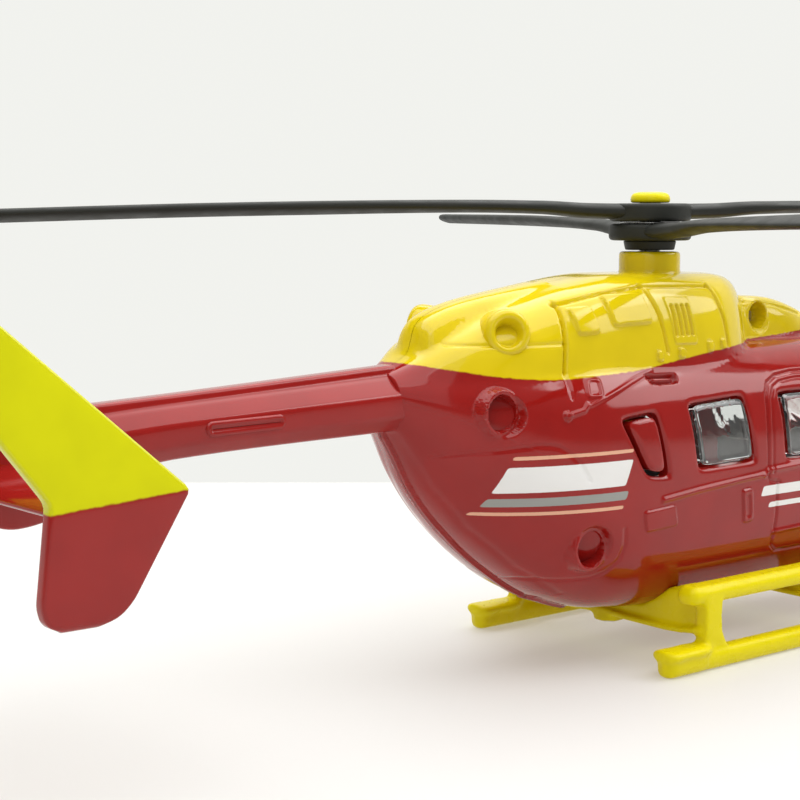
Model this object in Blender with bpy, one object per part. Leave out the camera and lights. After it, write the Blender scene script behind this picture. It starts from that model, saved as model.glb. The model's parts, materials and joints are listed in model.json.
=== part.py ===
"""Die-cast rescue helicopter, about 1:50.

Two half castings hold a clear glazing moulding, a grey cabin moulding, the stabiliser and the rotor mast.
Lengths are in millimetres, measured from the rotor mast's station on the ground: +X to the nose, +Y to
port, +Z up. `side` is -1 for the right (starboard) half and +1 for the left (port) half.
"""

import math

import bmesh
import bpy
import numpy as np
from mathutils import Matrix, Vector

MM = 0.001

# Where the mast stands from the middle of the model's length
MAST_X = 20.7

# Fit
GAP = 0.3
SEAM_GAP = 0.15
WALL = 1.3

# Fuselage pod: (station, value) pairs from the boom to the nose
POD_TOP = ((-53.5, 45.2), (-50, 46.2), (-40, 46.6), (28, 46.4), (37, 45.4), (47, 41), (56, 34), (62, 28.5),
           (66, 24.4), (69, 20.6))
POD_BOTTOM = ((-53.5, 36.6), (-51.3, 33.2), (-48, 27.6), (-42.6, 21.5), (-35, 15.2), (-27, 10.4),
              (-18, 7.6), (-5, 6.5), (35, 6.3), (48, 7.5), (57, 10), (63, 13.3), (67, 16.8), (69, 20))
POD_HALF_WIDTH = ((-53.5, 4.4), (-52, 5.6), (-48, 8.4), (-42, 12), (-34, 15.1), (-25, 16.8), (-15, 17.3),
                  (30, 17.3), (42, 16.4), (52, 14), (60, 10.8), (66, 6.3), (69, 2))
POD_WIDEST = ((-53.5, 41), (-45, 37.5), (-30, 31), (-15, 28), (30, 26), (50, 22.5), (69, 20.3))
POD_ROUNDNESS_ABOVE = ((-53.5, 2.3), (-40, 2.6), (-20, 3.2), (69, 3))
POD_ROUNDNESS_BELOW = ((-53.5, 2.1), (-40, 2.3), (-20, 2.7), (69, 2.4))

# Raised shapes on the pod's roof: the half widths and tops of the engine cowling, dorsal box and intake
COWL_HALF_WIDTH = ((-54, 2.5), (-50, 5.8), (-44, 9.3), (-36, 11.8), (-25, 13.2), (-8, 13.6), (2, 13.1),
                   (8, 11.7), (12, 9.4), (15, 6.6), (16.8, 3.6))
COWL_TOP = ((-54, 44.6), (-50, 47.4), (-46.5, 49), (-40, 51.4), (-32, 53.8), (-22, 56), (-10, 57.2),
            (8, 57), (12, 56.6), (15, 55.6), (16.8, 54))
COWL_SPAN = (-54, 16.8)
DORSAL_HALF_WIDTH = ((-46.4, 4.4), (-32, 5))
DORSAL_TOP = ((-46.4, 51.8), (-40, 53.7), (-32, 54.8))
DORSAL_SPAN = (-46.4, -32)
INTAKE_HALF_WIDTH = ((11, 7.2), (28, 6.8), (37, 5.5))
INTAKE_TOP = ((11, 53.4), (24, 52.8), (32, 50.9), (37, 48.6))
INTAKE_SPAN = (11, 37.2)
ROOF = (
    (COWL_HALF_WIDTH, COWL_TOP, COWL_SPAN),
    (DORSAL_HALF_WIDTH, DORSAL_TOP, DORSAL_SPAN),
    (INTAKE_HALF_WIDTH, INTAKE_TOP, INTAKE_SPAN),
)
ROOF_ROUNDNESS = 4
ROOF_FILLET = 0.7

# Mesh density of the castings
STATIONS = (-53.5, -52.3, -50.5, -48, -46.5, -46.2, -42, -37, -31, -25, -16, -4, 4, 10, 14, 16.7, 17,
            28, 36.9, 37.4, 43, 50, 57, 62, 66, 68.3, 69)
CAVITY_STATIONS = (-49, -42, -34, -25, -14, 0, 8, 13, 18, 40, 50, 58, 64)
SECTION_ANGLES = (0, 15, 26, 34, 42, 50, 60, 74, 90, 108, 126, 144, 162, 180)

# Tail boom, bumper and fin
BOOM_TOP = ((-49, 45.6), (-96, 43.3), (-110, 42.6), (-117, 40.5))
BOOM_BOTTOM = ((-49, 36.6), (-87, 35.8), (-97, 34.5), (-104, 30.2), (-109, 29.4), (-114, 31.2), (-117, 35))
BOOM_HALF_WIDTH = ((-49, 4.7), (-96, 3.8), (-108, 3.3), (-117, 1.6))
BOOM_STATIONS = (-49, -66, -82, -96, -101, -105, -109, -113, -117)
BOOM_FACETS = 8
BOOM_ROUNDNESS = 3
FIN_ROOT = ((-97.5, 42), (-117, 38))
FIN_TIP = ((-127.5, 67), (-137, 67))
FIN_HALF_THICKNESS = (1.9, 1.1)
FIN_ROWS = 5
FIN_CHORD_POINTS = (0, 0.06, 0.25, 0.6, 1)
FIN_CHORD_SWELL = (0.25, 0.75, 1, 0.8, 0.3)
GEARBOX_CENTRE = (-131, 59.4)
GEARBOX_RADIUS = 2.6
GEARBOX_FACE_Y = 3
GEARBOX_ROOT_Y = 0.6

# Stabiliser
STAB_HALF_SPAN = 27.7
STAB_HALF_THICKNESS = 1
STAB_LEADING = (-104.2, 36.8)
STAB_TRAILING = (-118, 35.3)
PLATE_THICKNESS = 1.9
PLATE_CANT = math.radians(11)
PLATE_CREASE = ((-102.9, 36.8), (-119.2, 35))
PLATE_ROWS = (
    ((-112, 23.6), (-119.6, 24.2)),
    ((-110.2, 24.6), (-120.5, 25.6)),
    PLATE_CREASE,
    ((-128.2, 58.4), (-134.6, 58.2)),
    ((-130, 59.8), (-134.4, 59.6)),
)

# Windows in side view: (station, height) corners
PLUG_WINDOW = ((-23.4, 37.4), (-16, 38.1), (-13.8, 28.4), (-18.6, 28.8))
REAR_WINDOW = ((-9.2, 38.6), (3.6, 39.2), (5.4, 29), (-7.6, 28.8))
DOOR_WINDOW = ((11.6, 39.1), (27.4, 39.1), (28, 28.6), (12.6, 28.6))
COCKPIT_WINDOW = ((33.6, 38.8), (39, 38.4), (45.4, 29), (34, 28.4))
WINDSCREEN = ((43.4, 43.2), (66, 43.2), (66, 27), (58, 27.6), (48.6, 29.8))
WINDOW_CORNER = 1.4
WINDOW_CUT_INNER_Y = 6
CENTRE_POST_HALF_WIDTH = 1
GLAZING_THICKNESS = 1
LAYER_STEPS = (9, 4)
SCREEN_STATIONS = (44.7, 46, 48.6, 52, 56, 59, 61.4)
SCREEN_ARC_POINTS = 6
GLAZING_SPAN = (-12.5, 40.8)
GLAZING_HEIGHTS = (27, 39.3)

# Cabin moulding
FLOOR_STATIONS = (-17, -10, 10, 30, 40, 48)
FLOOR_TOP = 13.4
FLOOR_THICKNESS = 1.2
FLOOR_CLEARANCE = 1.4
SEAT_STATIONS = (-4, 12, 30)
SEAT_SIZE = (7, 7.6, 4.4)
SEAT_BACK = (1.6, 13)
SEAT_OFFSET_Y = 6.4
SEAT_BACK_INSET = 0.4
CONSOLE_SPAN = (44.5, 49.5)
CONSOLE_HEIGHT = 8.5
BULKHEAD_X = -13.4
BULKHEAD_TOP = 40
BULKHEAD_HALF_WIDTH = 10.8
BULKHEAD_THICKNESS = 1.2
CONSOLE_HALF_WIDTH = 7

# Screws: (station, height) of the bosses between the halves, in side view
BOSSES = ((-42.2, 39.3), (-27.4, 19.4), (20.4, 49.6), (56, 15.5))
BOSS_RADIUS = 2.4
WELL_RADIUS = 2.6
WELL_DEPTH = 1.9
SCREW_HEAD_RADIUS = 2
SCREW_HEAD_HEIGHT = 1.2
SCREW_SHANK_RADIUS = 1
SCREW_REACH = 3
SCREW_SLOT = (0.25, 0.7)
BOOM_SCREW = (-100.6, 39.4)
BOOM_SCREW_RADIUS = 1.7
BOOM_SCREW_SEAT_Y = 2.2
BOOM_SCREW_REACH = 1.2
SKID_SCREW_STATIONS = (-8, 26)
SKID_SCREW_TOP = 10.5
SKID_BORE_TOP = 12
BORE_RADIUS = SCREW_SHANK_RADIUS + GAP
SHOULDER_RISE = 0.01
OUTSIDE_Y = 30

# Skid gear
SKID_HALF_TRACK = 19.95
SKID_TUBE = (1.65, 1.55)
SKID_PATH = ((-15, 1.55), (36, 1.55), (41, 2.6), (44.5, 5.4))
NUB_SPAN = (-18.8, -8)
NUB_RADII = (2.3, 2.3)
CROSS_STATIONS = (-8, 26)
LEG_HALF_LENGTH = 2.2
LEG_ROWS = ((1.2, 4.4), (2.6, 3.7), (4.6, 2.6), (7.5, LEG_HALF_LENGTH), (11.6, LEG_HALF_LENGTH))
LEG_HALF_THICKNESS = 1
WEB_ROWS = ((0, 5, 6.1), (8, 5, 6.6), (13, 4.9, 8.2), (16.4, 4.8, 11.2), (SKID_HALF_TRACK, 4.8, 11.6))
STEP_SPAN = (-12.5, 31)
STEP_Y = (17, 21)
STEP_Z = (9.7, 12.4)
SKID_SCREW_RADIUS = 1.7

# Rotor
MAST_RADIUS = 1.6
MAST_SPAN = (49, 68.2)
MAST_FLANGE = (3.4, 49, 50.4)
MAST_BORE_SPAN = (45, 70)
MAST_POCKET_SPAN = (40, 50.8)
COLLAR_BASE_Z = 55.5
COLLAR_TOP_Z = 60.2
COLLAR_RADIUS = 4.7
DRIVE_COLLAR = (4.1, 60.5, 62)
ROTOR_HUB_RADIUS = 6.3
LOWER_HUB_Z = (62.3, 64.3)
UPPER_HUB_Z = (65.1, 67.6)
WASHER = (5, 64.55, 64.85)
LOWER_BLADE_AZIMUTH = math.radians(65)
UPPER_BLADE_AZIMUTH = math.radians(-24)
UPPER_BLADE_PATH = ((3, 0), (10, 0.15), (18, 0.65), (28, 0.8), (55, 0.4), (70, 0.1), (97, -0.7), (110, -1.1))
LOWER_BLADE_PATH = ((3, 0), (10, 0.2), (20, 0.9), (42, 1.4), (75, 1.7), (110, 1.9))
BLADE_CHORD = ((3, 5.4), (14, 4.6), (24, 6), (108, 6), (110, 4.2))
BLADE_HALF_THICKNESS = ((3, 0.8), (20, 0.8), (110, 0.6))
BLADE_STATIONS = (3, 11, 18, 25, 45, 66, 88, 106, 110)
BLADE_HEIGHT = 0.1
CAP_PROFILE = ((3.3, 67.95), (3.3, 68.5), (2.7, 69.2), (0, 69.4))
CAP_BORE = (1.9, 67, 68.5)

# Tail rotor
TAIL_ROTOR_RADIUS = 19.6
TAIL_ROTOR_TILT = math.radians(32)
TAIL_HUB = (2.2, 3.6, 6)
TAIL_BLADE_CHORD = 3.6
TAIL_BLADE_HALF_THICKNESS = 0.55
TAIL_PIN_RADIUS = 0.7
TAIL_PIN_HEAD = (1.5, 6.3, 7)

ROUND_SEGMENTS = 20
BOSS_SEGMENTS = 12
BORE_SEGMENTS = 8

RED = (0.33, 0.025, 0.022)
YELLOW = (0.78, 0.66, 0.01)
BLACK = (0.02, 0.02, 0.018)
GREY = (0.28, 0.29, 0.29)
STEEL = (0.55, 0.55, 0.54)
CLEAR = (0.85, 0.9, 0.9)


# ---- Curves ----------------------------------------------------------------------------------------------


def through(points, x):
    """Smooth curve through the points that never overshoots them (Fritsch and Carlson's slopes)."""
    px, py = (np.array(column, float) for column in zip(*sorted(points)))
    step = np.diff(px)
    rise = np.diff(py) / step
    slope = np.concatenate([rise[:1], np.zeros(len(px) - 2), rise[-1:]])
    same_way = rise[:-1] * rise[1:] > 0
    weight = 3 * (step[:-1] + step[1:])
    before = (2 * step[1:] + step[:-1]) / np.where(same_way, rise[:-1], 1)
    after = (step[1:] + 2 * step[:-1]) / np.where(same_way, rise[1:], 1)
    slope[1:-1] = np.where(same_way, weight / np.where(same_way, before + after, 1), 0)
    x = np.clip(x, px[0], px[-1])
    i = np.clip(np.searchsorted(px, x) - 1, 0, len(step) - 1)
    t = (x - px[i]) / step[i]
    start = py[i] * (1 + 2 * t) * (1 - t) ** 2 + step[i] * slope[i] * t * (1 - t) ** 2
    end = py[i + 1] * t * t * (3 - 2 * t) + step[i] * slope[i + 1] * t * t * (t - 1)
    return start + end


def superellipse(angle, half_width, height, power):
    """Distance from the centre to a superellipse at an angle from straight up."""
    across = np.abs(np.sin(angle)) / half_width
    along = np.abs(np.cos(angle)) / height
    return (across**power + along**power) ** (-1 / power)


def smooth_maximum(a, b, fillet):
    return (a + b + np.sqrt((a - b) ** 2 + fillet**2)) / 2


def roof_shape(x, angle, centre, half_width, top, span):
    """A raised shape's radius, or 0 where it isn't there."""
    above = (x >= span[0]) & (x <= span[1]) & (np.cos(angle) > 0)
    height = np.maximum(through(top, x) - centre, 0.1)
    radius = superellipse(angle, through(half_width, x), height, ROOF_ROUNDNESS)
    return np.where(above, radius, 0)


def pod_radius(x, angle, roof=ROOF):
    """Distance from the pod's centre line to its skin."""
    centre = through(POD_WIDEST, x)
    above = np.cos(angle) > 0
    height = np.where(above, through(POD_TOP, x) - centre, centre - through(POD_BOTTOM, x))
    power = np.where(above, through(POD_ROUNDNESS_ABOVE, x), through(POD_ROUNDNESS_BELOW, x))
    radius = superellipse(angle, through(POD_HALF_WIDTH, x), height, power)
    for shape in roof:
        radius = smooth_maximum(radius, roof_shape(x, angle, centre, *shape), ROOF_FILLET)
    return radius


def rounded_outline(corners, radius, steps=2):
    """The corners of a convex outline, each replaced by an arc."""
    points = []
    count = len(corners)
    for i in range(count):
        corner = Vector(corners[i])
        before = (Vector(corners[i - 1]) - corner).normalized()
        after = (Vector(corners[(i + 1) % count]) - corner).normalized()
        half_angle = before.angle(after) / 2
        centre = corner + (before + after).normalized() * radius / math.sin(half_angle)
        start = corner + before * radius / math.tan(half_angle) - centre
        end = corner + after * radius / math.tan(half_angle) - centre
        for step in range(steps + 1):
            along = start.lerp(end, step / steps).normalized() * radius
            points.append(tuple(centre + along))
    return points


def shrunk(outline, by):
    """A convex outline moved inwards towards its middle."""
    middle = sum((Vector(p) for p in outline), Vector((0, 0))) / len(outline)
    moved = []
    for point in outline:
        inward = middle - Vector(point)
        moved.append(tuple(Vector(point) + Vector((math.copysign(by, inward.x), math.copysign(by, inward.y)))))
    return moved


# ---- Meshes ----------------------------------------------------------------------------------------------


def loft(rings):
    """Closed body through rings that all have the same number of points."""
    bm = bmesh.new()
    rows = [[bm.verts.new(Vector(point) * MM) for point in ring] for ring in rings]
    for lower, upper in zip(rows, rows[1:]):
        for i in range(len(lower)):
            j = (i + 1) % len(lower)
            bm.faces.new((lower[i], lower[j], upper[j], upper[i]))
    bm.faces.new(rows[0])
    bm.faces.new(rows[-1])
    bmesh.ops.recalc_face_normals(bm, faces=bm.faces)
    bmesh.ops.triangulate(bm, faces=bm.faces)
    return bm


def prism(outline, y_from, y_to):
    """A side view outline, carried across the model."""
    return loft([[(x, y, z) for x, z in outline] for y in (y_from, y_to)])


def block(low, high):
    outline = ((low[0], low[2]), (high[0], low[2]), (high[0], high[2]), (low[0], high[2]))
    return prism(outline, low[1], high[1])


def turned(profile, segments=ROUND_SEGMENTS):
    """Solid of revolution about Z from (radius, height) points, bottom first; it may end on the axis."""
    rings = []
    for radius, height in profile:
        radius = max(radius, 0.02)
        turns = [2 * math.pi * i / segments for i in range(segments)]
        rings.append([(radius * math.cos(t), radius * math.sin(t), height) for t in turns])
    return loft(rings)


def disc(radius, low, high, segments=ROUND_SEGMENTS):
    return turned(((radius, low), (radius, high)), segments)


def bar(radius, x, z, y_from, y_to, segments=BOSS_SEGMENTS):
    """Round bar that lies across the model."""
    turns = [2 * math.pi * (i + 0.5) / segments for i in range(segments)]
    outline = [(x + radius * math.cos(t), z + radius * math.sin(t)) for t in turns]
    return prism(outline, y_from, y_to)


def at_station(bm, x):
    return moved(bm, Matrix.Translation(Vector((x, 0, 0)) * MM))


def moved(bm, transform):
    bmesh.ops.transform(bm, matrix=transform, verts=bm.verts)
    bmesh.ops.recalc_face_normals(bm, faces=bm.faces)
    return bm


# ---- Objects ---------------------------------------------------------------------------------------------


def material(name, colour, roughness, metallic=0.0, clear=False):
    made = bpy.data.materials.new(name)
    made.use_nodes = True
    shader = made.node_tree.nodes["Principled BSDF"]
    shader.inputs["Base Color"].default_value = (*colour, 1)
    shader.inputs["Roughness"].default_value = roughness
    shader.inputs["Metallic"].default_value = metallic
    shader.inputs["Transmission Weight"].default_value = 1 if clear else 0
    return made


def add_object(name, bm, parent, finish=None):
    mesh = bpy.data.meshes.new(name)
    bm.to_mesh(mesh)
    bm.free()
    made = bpy.data.objects.new(name, mesh)
    bpy.context.scene.collection.objects.link(made)
    made.parent = parent
    if finish:
        mesh.materials.append(finish)
        mesh.shade_smooth()
        mesh.set_sharp_from_angle(angle=math.radians(35))
    return made


def combine(target, bm, operation):
    """Boolean with a hidden tool body, in the target's own coordinates."""
    tool = add_object(f"tool_{target.name}_{len(target.modifiers)}", bm, target)
    tool.hide_render = True
    tool.display_type = "WIRE"
    modifier = target.modifiers.new(operation.lower(), "BOOLEAN")
    modifier.object = tool
    modifier.operation = operation
    modifier.solver = "EXACT"


def joined(target, *bodies):
    for body in bodies:
        combine(target, body, "UNION")


def cut(target, *bodies):
    for body in bodies:
        combine(target, body, "DIFFERENCE")


def pivot(name, location, parent=None):
    empty = bpy.data.objects.new(name, None)
    bpy.context.scene.collection.objects.link(empty)
    empty.parent = parent
    empty.location = Vector(location) * MM
    return empty


# ---- Castings --------------------------------------------------------------------------------------------


def pod_half(side, stations, seam=0.0, inset=0.0, roof=ROOF):
    """Half of the pod, its skin moved in by `inset` and its flat face `seam` from the middle."""
    turns = np.radians(np.array(SECTION_ANGLES, float))
    rings = []
    for x in stations:
        radius = pod_radius(np.full(len(turns), float(x)), turns, roof) - inset
        centre = float(through(POD_WIDEST, np.array(float(x))))
        breadth = np.maximum(radius * np.sin(turns), seam)
        rings.append([(x, side * y, centre + z) for y, z in zip(breadth, radius * np.cos(turns))])
    return loft(rings)


def boom_half(side):
    angles = [math.pi * i / BOOM_FACETS for i in range(BOOM_FACETS + 1)]
    rings = []
    for x in BOOM_STATIONS:
        top = float(through(BOOM_TOP, np.array(x)))
        bottom = float(through(BOOM_BOTTOM, np.array(x)))
        width = float(through(BOOM_HALF_WIDTH, np.array(x)))
        ring = []
        for angle in angles:
            radius = float(superellipse(angle, width, (top - bottom) / 2, BOOM_ROUNDNESS))
            y = max(radius * math.sin(angle), SEAM_GAP)
            ring.append((x, side * y, (top + bottom) / 2 + radius * math.cos(angle)))
        rings.append(ring)
    return loft(rings)


def fin_half(side):
    rings = []
    for row in range(FIN_ROWS):
        share = row / (FIN_ROWS - 1)
        front = Vector(FIN_ROOT[0]).lerp(Vector(FIN_TIP[0]), share)
        back = Vector(FIN_ROOT[1]).lerp(Vector(FIN_TIP[1]), share)
        thickness = FIN_HALF_THICKNESS[0] + (FIN_HALF_THICKNESS[1] - FIN_HALF_THICKNESS[0]) * share
        outer = []
        for along, swell in zip(FIN_CHORD_POINTS, FIN_CHORD_SWELL):
            x, z = front.lerp(back, along)
            outer.append((x, side * thickness * swell, z))
        rings.append([(front.x, side * SEAM_GAP, front.y), *outer, (back.x, side * SEAM_GAP, back.y)])
    return loft(rings)


def window_cutter(corners, side, inner_y=WINDOW_CUT_INNER_Y):
    return prism(rounded_outline(corners, WINDOW_CORNER), side * inner_y, side * OUTSIDE_Y)


def cast_half(name, side, parent, finish):
    """One half casting: pod, boom, fin and mast collar in one hollow body."""
    shell = add_object(name, pod_half(side, STATIONS, SEAM_GAP), parent, finish)
    cut(shell, pod_half(side, CAVITY_STATIONS, inset=WALL, roof=ROOF[:1]))
    joined(shell, boom_half(side), fin_half(side), collar_half(side))
    joined(shell, *(boss(side, x, z) for x, z in BOSSES))
    for corners in (PLUG_WINDOW, REAR_WINDOW, DOOR_WINDOW, COCKPIT_WINDOW):
        cut(shell, window_cutter(corners, side))
    cut(shell, window_cutter(WINDSCREEN, side, CENTRE_POST_HALF_WIDTH))
    cut(shell, stabiliser_bar(OUTSIDE_Y, GAP))
    cut(shell, disc(MAST_RADIUS + GAP, *MAST_BORE_SPAN), disc(MAST_FLANGE[0] + GAP, *MAST_POCKET_SPAN))
    cut(shell, *(well(side, x, z) for x, z in BOSSES))
    cut_screw_bores(shell)
    if side > 0:
        joined(shell, bar(GEARBOX_RADIUS, *GEARBOX_CENTRE, GEARBOX_ROOT_Y, GEARBOX_FACE_Y))
        cut(shell, bar(TAIL_PIN_RADIUS + GAP, *GEARBOX_CENTRE, GEARBOX_ROOT_Y, OUTSIDE_Y, BORE_SEGMENTS))
    return shell


def cut_screw_bores(shell):
    """Bores for the screws that come in from the left side and from below."""
    for x, z in BOSSES:
        cut(shell, bar(BORE_RADIUS, x, z, -SCREW_REACH - GAP, OUTSIDE_Y, BORE_SEGMENTS))
    cut(shell, bar(BORE_RADIUS, *BOOM_SCREW, -BOOM_SCREW_REACH - GAP, OUTSIDE_Y, BORE_SEGMENTS))
    cut(shell, bar(BOOM_SCREW_RADIUS + GAP, *BOOM_SCREW, BOOM_SCREW_SEAT_Y, OUTSIDE_Y, BORE_SEGMENTS))
    for x in SKID_SCREW_STATIONS:
        cut(shell, at_station(disc(BORE_RADIUS, 0, SKID_BORE_TOP, BORE_SEGMENTS), x))


def collar_half(side):
    """Half of the raised ring round the mast; the mast's bore is cut afterwards."""
    turns = [math.pi * i / 12 for i in range(13)]
    rings = []
    for z in (COLLAR_BASE_Z, COLLAR_TOP_Z):
        arc = [(COLLAR_RADIUS * math.cos(t), COLLAR_RADIUS * math.sin(t)) for t in turns]
        rings.append([(x, side * max(y, SEAM_GAP), z) for x, y in arc])
    return loft(rings)


def skin_section(x, inset=0.0):
    """Many (half breadth, height) points round one side of the pod, from its top to its bottom."""
    turns = np.linspace(0, math.pi, 600)
    radius = pod_radius(np.full(len(turns), float(x)), turns) - inset
    centre = float(through(POD_WIDEST, np.array(float(x))))
    return np.column_stack([radius * np.sin(turns), centre + radius * np.cos(turns)])


def skin_y(x, z):
    """Half breadth of the pod at a station and a height."""
    section = skin_section(x)
    return float(section[np.argmin(np.abs(section[:, 1] - z)), 0])


def boss(side, x, z):
    return bar(BOSS_RADIUS, x, z, side * SEAM_GAP, side * (skin_y(x, z) - WALL / 2))


def well(side, x, z):
    return bar(WELL_RADIUS, x, z, side * (skin_y(x, z) - WELL_DEPTH), side * OUTSIDE_Y)


# ---- Glazing ---------------------------------------------------------------------------------------------


def layer(side, outer_inset, inner_inset, span, heights):
    """Part of a skin that lies between two insets, as rings that go round its thickness."""
    low, high = heights
    rings = []
    for x in np.linspace(*span, LAYER_STEPS[0]):
        outer = []
        inner = []
        for z in np.linspace(low, high, LAYER_STEPS[1]):
            y = skin_y(x, z)
            outer.append((x, side * (y - outer_inset), z))
            inner.append((x, side * (y - inner_inset), z))
        rings.append(outer + inner[::-1])
    return loft(rings)


def glazing(name, side, parent, finish):
    """Clear moulding behind the wall, with a raised pane in each window."""
    behind = WALL + 3 * GAP
    sheet = layer(side, behind, behind + GLAZING_THICKNESS, GLAZING_SPAN, GLAZING_HEIGHTS)
    made = add_object(name, sheet, parent, finish)
    for corners in (REAR_WINDOW, DOOR_WINDOW, COCKPIT_WINDOW):
        joined(made, pane(side, corners, behind + GLAZING_THICKNESS / 2))
    return made


def pane(side, corners, depth):
    """A window's own block of clear plastic, flush with the skin."""
    outline = rounded_outline(shrunk(corners, GAP), WINDOW_CORNER - GAP / 2)
    rings = []
    for inset in (-0.1, depth):
        rings.append([(x, side * (skin_y(x, z) - inset), z) for x, z in outline])
    return loft(rings)


def windscreen(name, side, parent, finish):
    """One of the two panes beside the centre post: a strip of the skin from the post down to the sill."""
    sill_x, sill_z = zip(*sorted((WINDSCREEN[0], *WINDSCREEN[2:])))
    rings = []
    for x in SCREEN_STATIONS:
        arcs = []
        for inset in (0, GLAZING_THICKNESS):
            section = skin_section(x, inset)
            first = np.argmax(section[:, 0] > CENTRE_POST_HALF_WIDTH + GAP)
            last = np.argmax(section[:, 1] < np.interp(x, sill_x, sill_z) + 2 * GAP)
            picks = np.linspace(first, max(last, first + SCREEN_ARC_POINTS), SCREEN_ARC_POINTS).astype(int)
            arcs.append([(x, side * y, z) for y, z in section[picks]])
        rings.append(arcs[0] + arcs[1][::-1])
    return add_object(name, loft(rings), parent, finish)


# ---- Other pieces ----------------------------------------------------------------------------------------


def cabin_interior(parent, finish):
    """Grey moulding: floor, paired seats, bulkhead and instrument console."""
    floor_low = FLOOR_TOP - FLOOR_THICKNESS
    rings = []
    for x in FLOOR_STATIONS:
        y = skin_y(x, floor_low) - WALL - FLOOR_CLEARANCE
        rings.append([(x, -y, floor_low), (x, y, floor_low), (x, y, FLOOR_TOP), (x, -y, FLOOR_TOP)])
    made = add_object("cabin_interior", loft(rings), parent, finish)
    length, width, height = SEAT_SIZE
    back, back_height = SEAT_BACK
    for x in SEAT_STATIONS:
        for y in (-SEAT_OFFSET_Y, SEAT_OFFSET_Y):
            low = (x, y - width / 2, floor_low)
            joined(made, block(low, (x + length, y + width / 2, FLOOR_TOP + height)))
            high = (x + back, y + width / 2 - SEAT_BACK_INSET, FLOOR_TOP + height + back_height)
            joined(made, block(low, high))
    console_top = (CONSOLE_SPAN[1], CONSOLE_HALF_WIDTH, FLOOR_TOP + CONSOLE_HEIGHT)
    console = block((CONSOLE_SPAN[0], -CONSOLE_HALF_WIDTH, floor_low), console_top)
    bulkhead_top = (BULKHEAD_X + BULKHEAD_THICKNESS, BULKHEAD_HALF_WIDTH, BULKHEAD_TOP)
    bulkhead = block((BULKHEAD_X, -BULKHEAD_HALF_WIDTH, floor_low), bulkhead_top)
    joined(made, console, bulkhead)
    return made


def stabiliser_bar(half_span, grow):
    """The tailplane's straight bar, a six-sided aerofoil."""
    front, back = Vector(STAB_LEADING), Vector(STAB_TRAILING)
    t = STAB_HALF_THICKNESS + grow
    outline = (
        (front.x + grow, front.y),
        (front.x - 3, front.y + t),
        (back.x + 4, back.y + 0.7 * t + 0.3),
        (back.x - grow, back.y),
        (back.x + 4, back.y - 0.7 * t + 0.3),
        (front.x - 3, front.y - t),
    )
    return prism(outline, -half_span, half_span)


def plate_point(x, z, depth, side):
    """A point of an end plate: upright below the crease, leaning inboard above it."""
    front, back = PLATE_CREASE
    crease = front[1] + (back[1] - front[1]) * (x - front[0]) / (back[0] - front[0])
    lean = math.tan(PLATE_CANT) * max(z - crease, 0)
    return (x, side * (STAB_HALF_SPAN + depth - lean), z)


def end_plate(side):
    """Plate built upwards in rows, each from its front edge to its back edge."""
    rings = []
    for front, back in PLATE_ROWS:
        inner = [plate_point(*point, 0, side) for point in (front, back)]
        outer = [plate_point(*point, PLATE_THICKNESS, side) for point in (back, front)]
        rings.append(inner + outer)
    return loft(rings)


def stabiliser(parent, finish):
    made = add_object("stabiliser", stabiliser_bar(STAB_HALF_SPAN + 0.5, 0), parent, finish)
    for side in (-1, 1):
        joined(made, end_plate(side))
    return made


def skid_tube(side):
    """Tube with a fat rounded rear end and a front that turns up."""
    half_width, half_height = SKID_TUBE
    nub_width, nub_height = NUB_RADII
    stations = [
        (NUB_SPAN[0], nub_height, 0.5),
        (NUB_SPAN[0] + 1, nub_height, 0.85),
        (NUB_SPAN[0] + 3, nub_height, 1),
        (NUB_SPAN[1] - 2, nub_height, 1),
    ]
    rings = [tube_ring(side, x, z, nub_width * grow, nub_height * grow) for x, z, grow in stations]
    path = ((NUB_SPAN[1], SKID_PATH[0][1]), *SKID_PATH[1:])
    rings += [tube_ring(side, x, z, half_width, half_height) for x, z in path]
    return loft(rings)


def tube_ring(side, x, z, half_width, half_height):
    ring = []
    for i in range(12):
        angle = 2 * math.pi * (i + 0.5) / 12
        radius = float(superellipse(angle, half_width, half_height, 3.2))
        ring.append((x, side * SKID_HALF_TRACK + radius * math.sin(angle), z + radius * math.cos(angle)))
    return ring


def cross_member(x):
    """Web under the belly that grows taller towards the steps."""
    front, back = x + LEG_HALF_LENGTH, x - LEG_HALF_LENGTH
    rows = [(-y, low, high) for y, low, high in WEB_ROWS[:0:-1]] + list(WEB_ROWS)
    return loft([[(back, y, low), (front, y, low), (front, y, high), (back, y, high)] for y, low, high in rows])


def leg(side, x):
    """Upright from the tube to the step, wider at its foot."""
    near, far = side * SKID_HALF_TRACK - LEG_HALF_THICKNESS, side * SKID_HALF_TRACK + LEG_HALF_THICKNESS
    rings = []
    for z, half_length in LEG_ROWS:
        back, front = x - half_length, x + half_length
        rings.append([(back, near, z), (front, near, z), (front, far, z), (back, far, z)])
    return loft(rings)


def step_board(side):
    """Flat boarding step with round ends."""
    y_near, y_far = STEP_Y
    x_back, x_front = STEP_SPAN
    corners = ((x_back, y_near), (x_front, y_near), (x_front, y_far), (x_back, y_far))
    outline = rounded_outline(corners, 1.8)
    return loft([[(x, side * y, z) for x, y in outline] for z in STEP_Z])


def skid_gear(parent, finish):
    """One plastic moulding: tubes, legs, steps and cross members."""
    made = add_object("skid_gear", cross_member(CROSS_STATIONS[0]), parent, finish)
    for side in (-1, 1):
        joined(made, step_board(side))
        for x in CROSS_STATIONS:
            joined(made, leg(side, x))
        joined(made, skid_tube(side))
    joined(made, cross_member(CROSS_STATIONS[1]))
    for x in SKID_SCREW_STATIONS:
        cut(made, at_station(disc(BORE_RADIUS, 0, SKID_SCREW_TOP, BORE_SEGMENTS), x))
    return made


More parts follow.
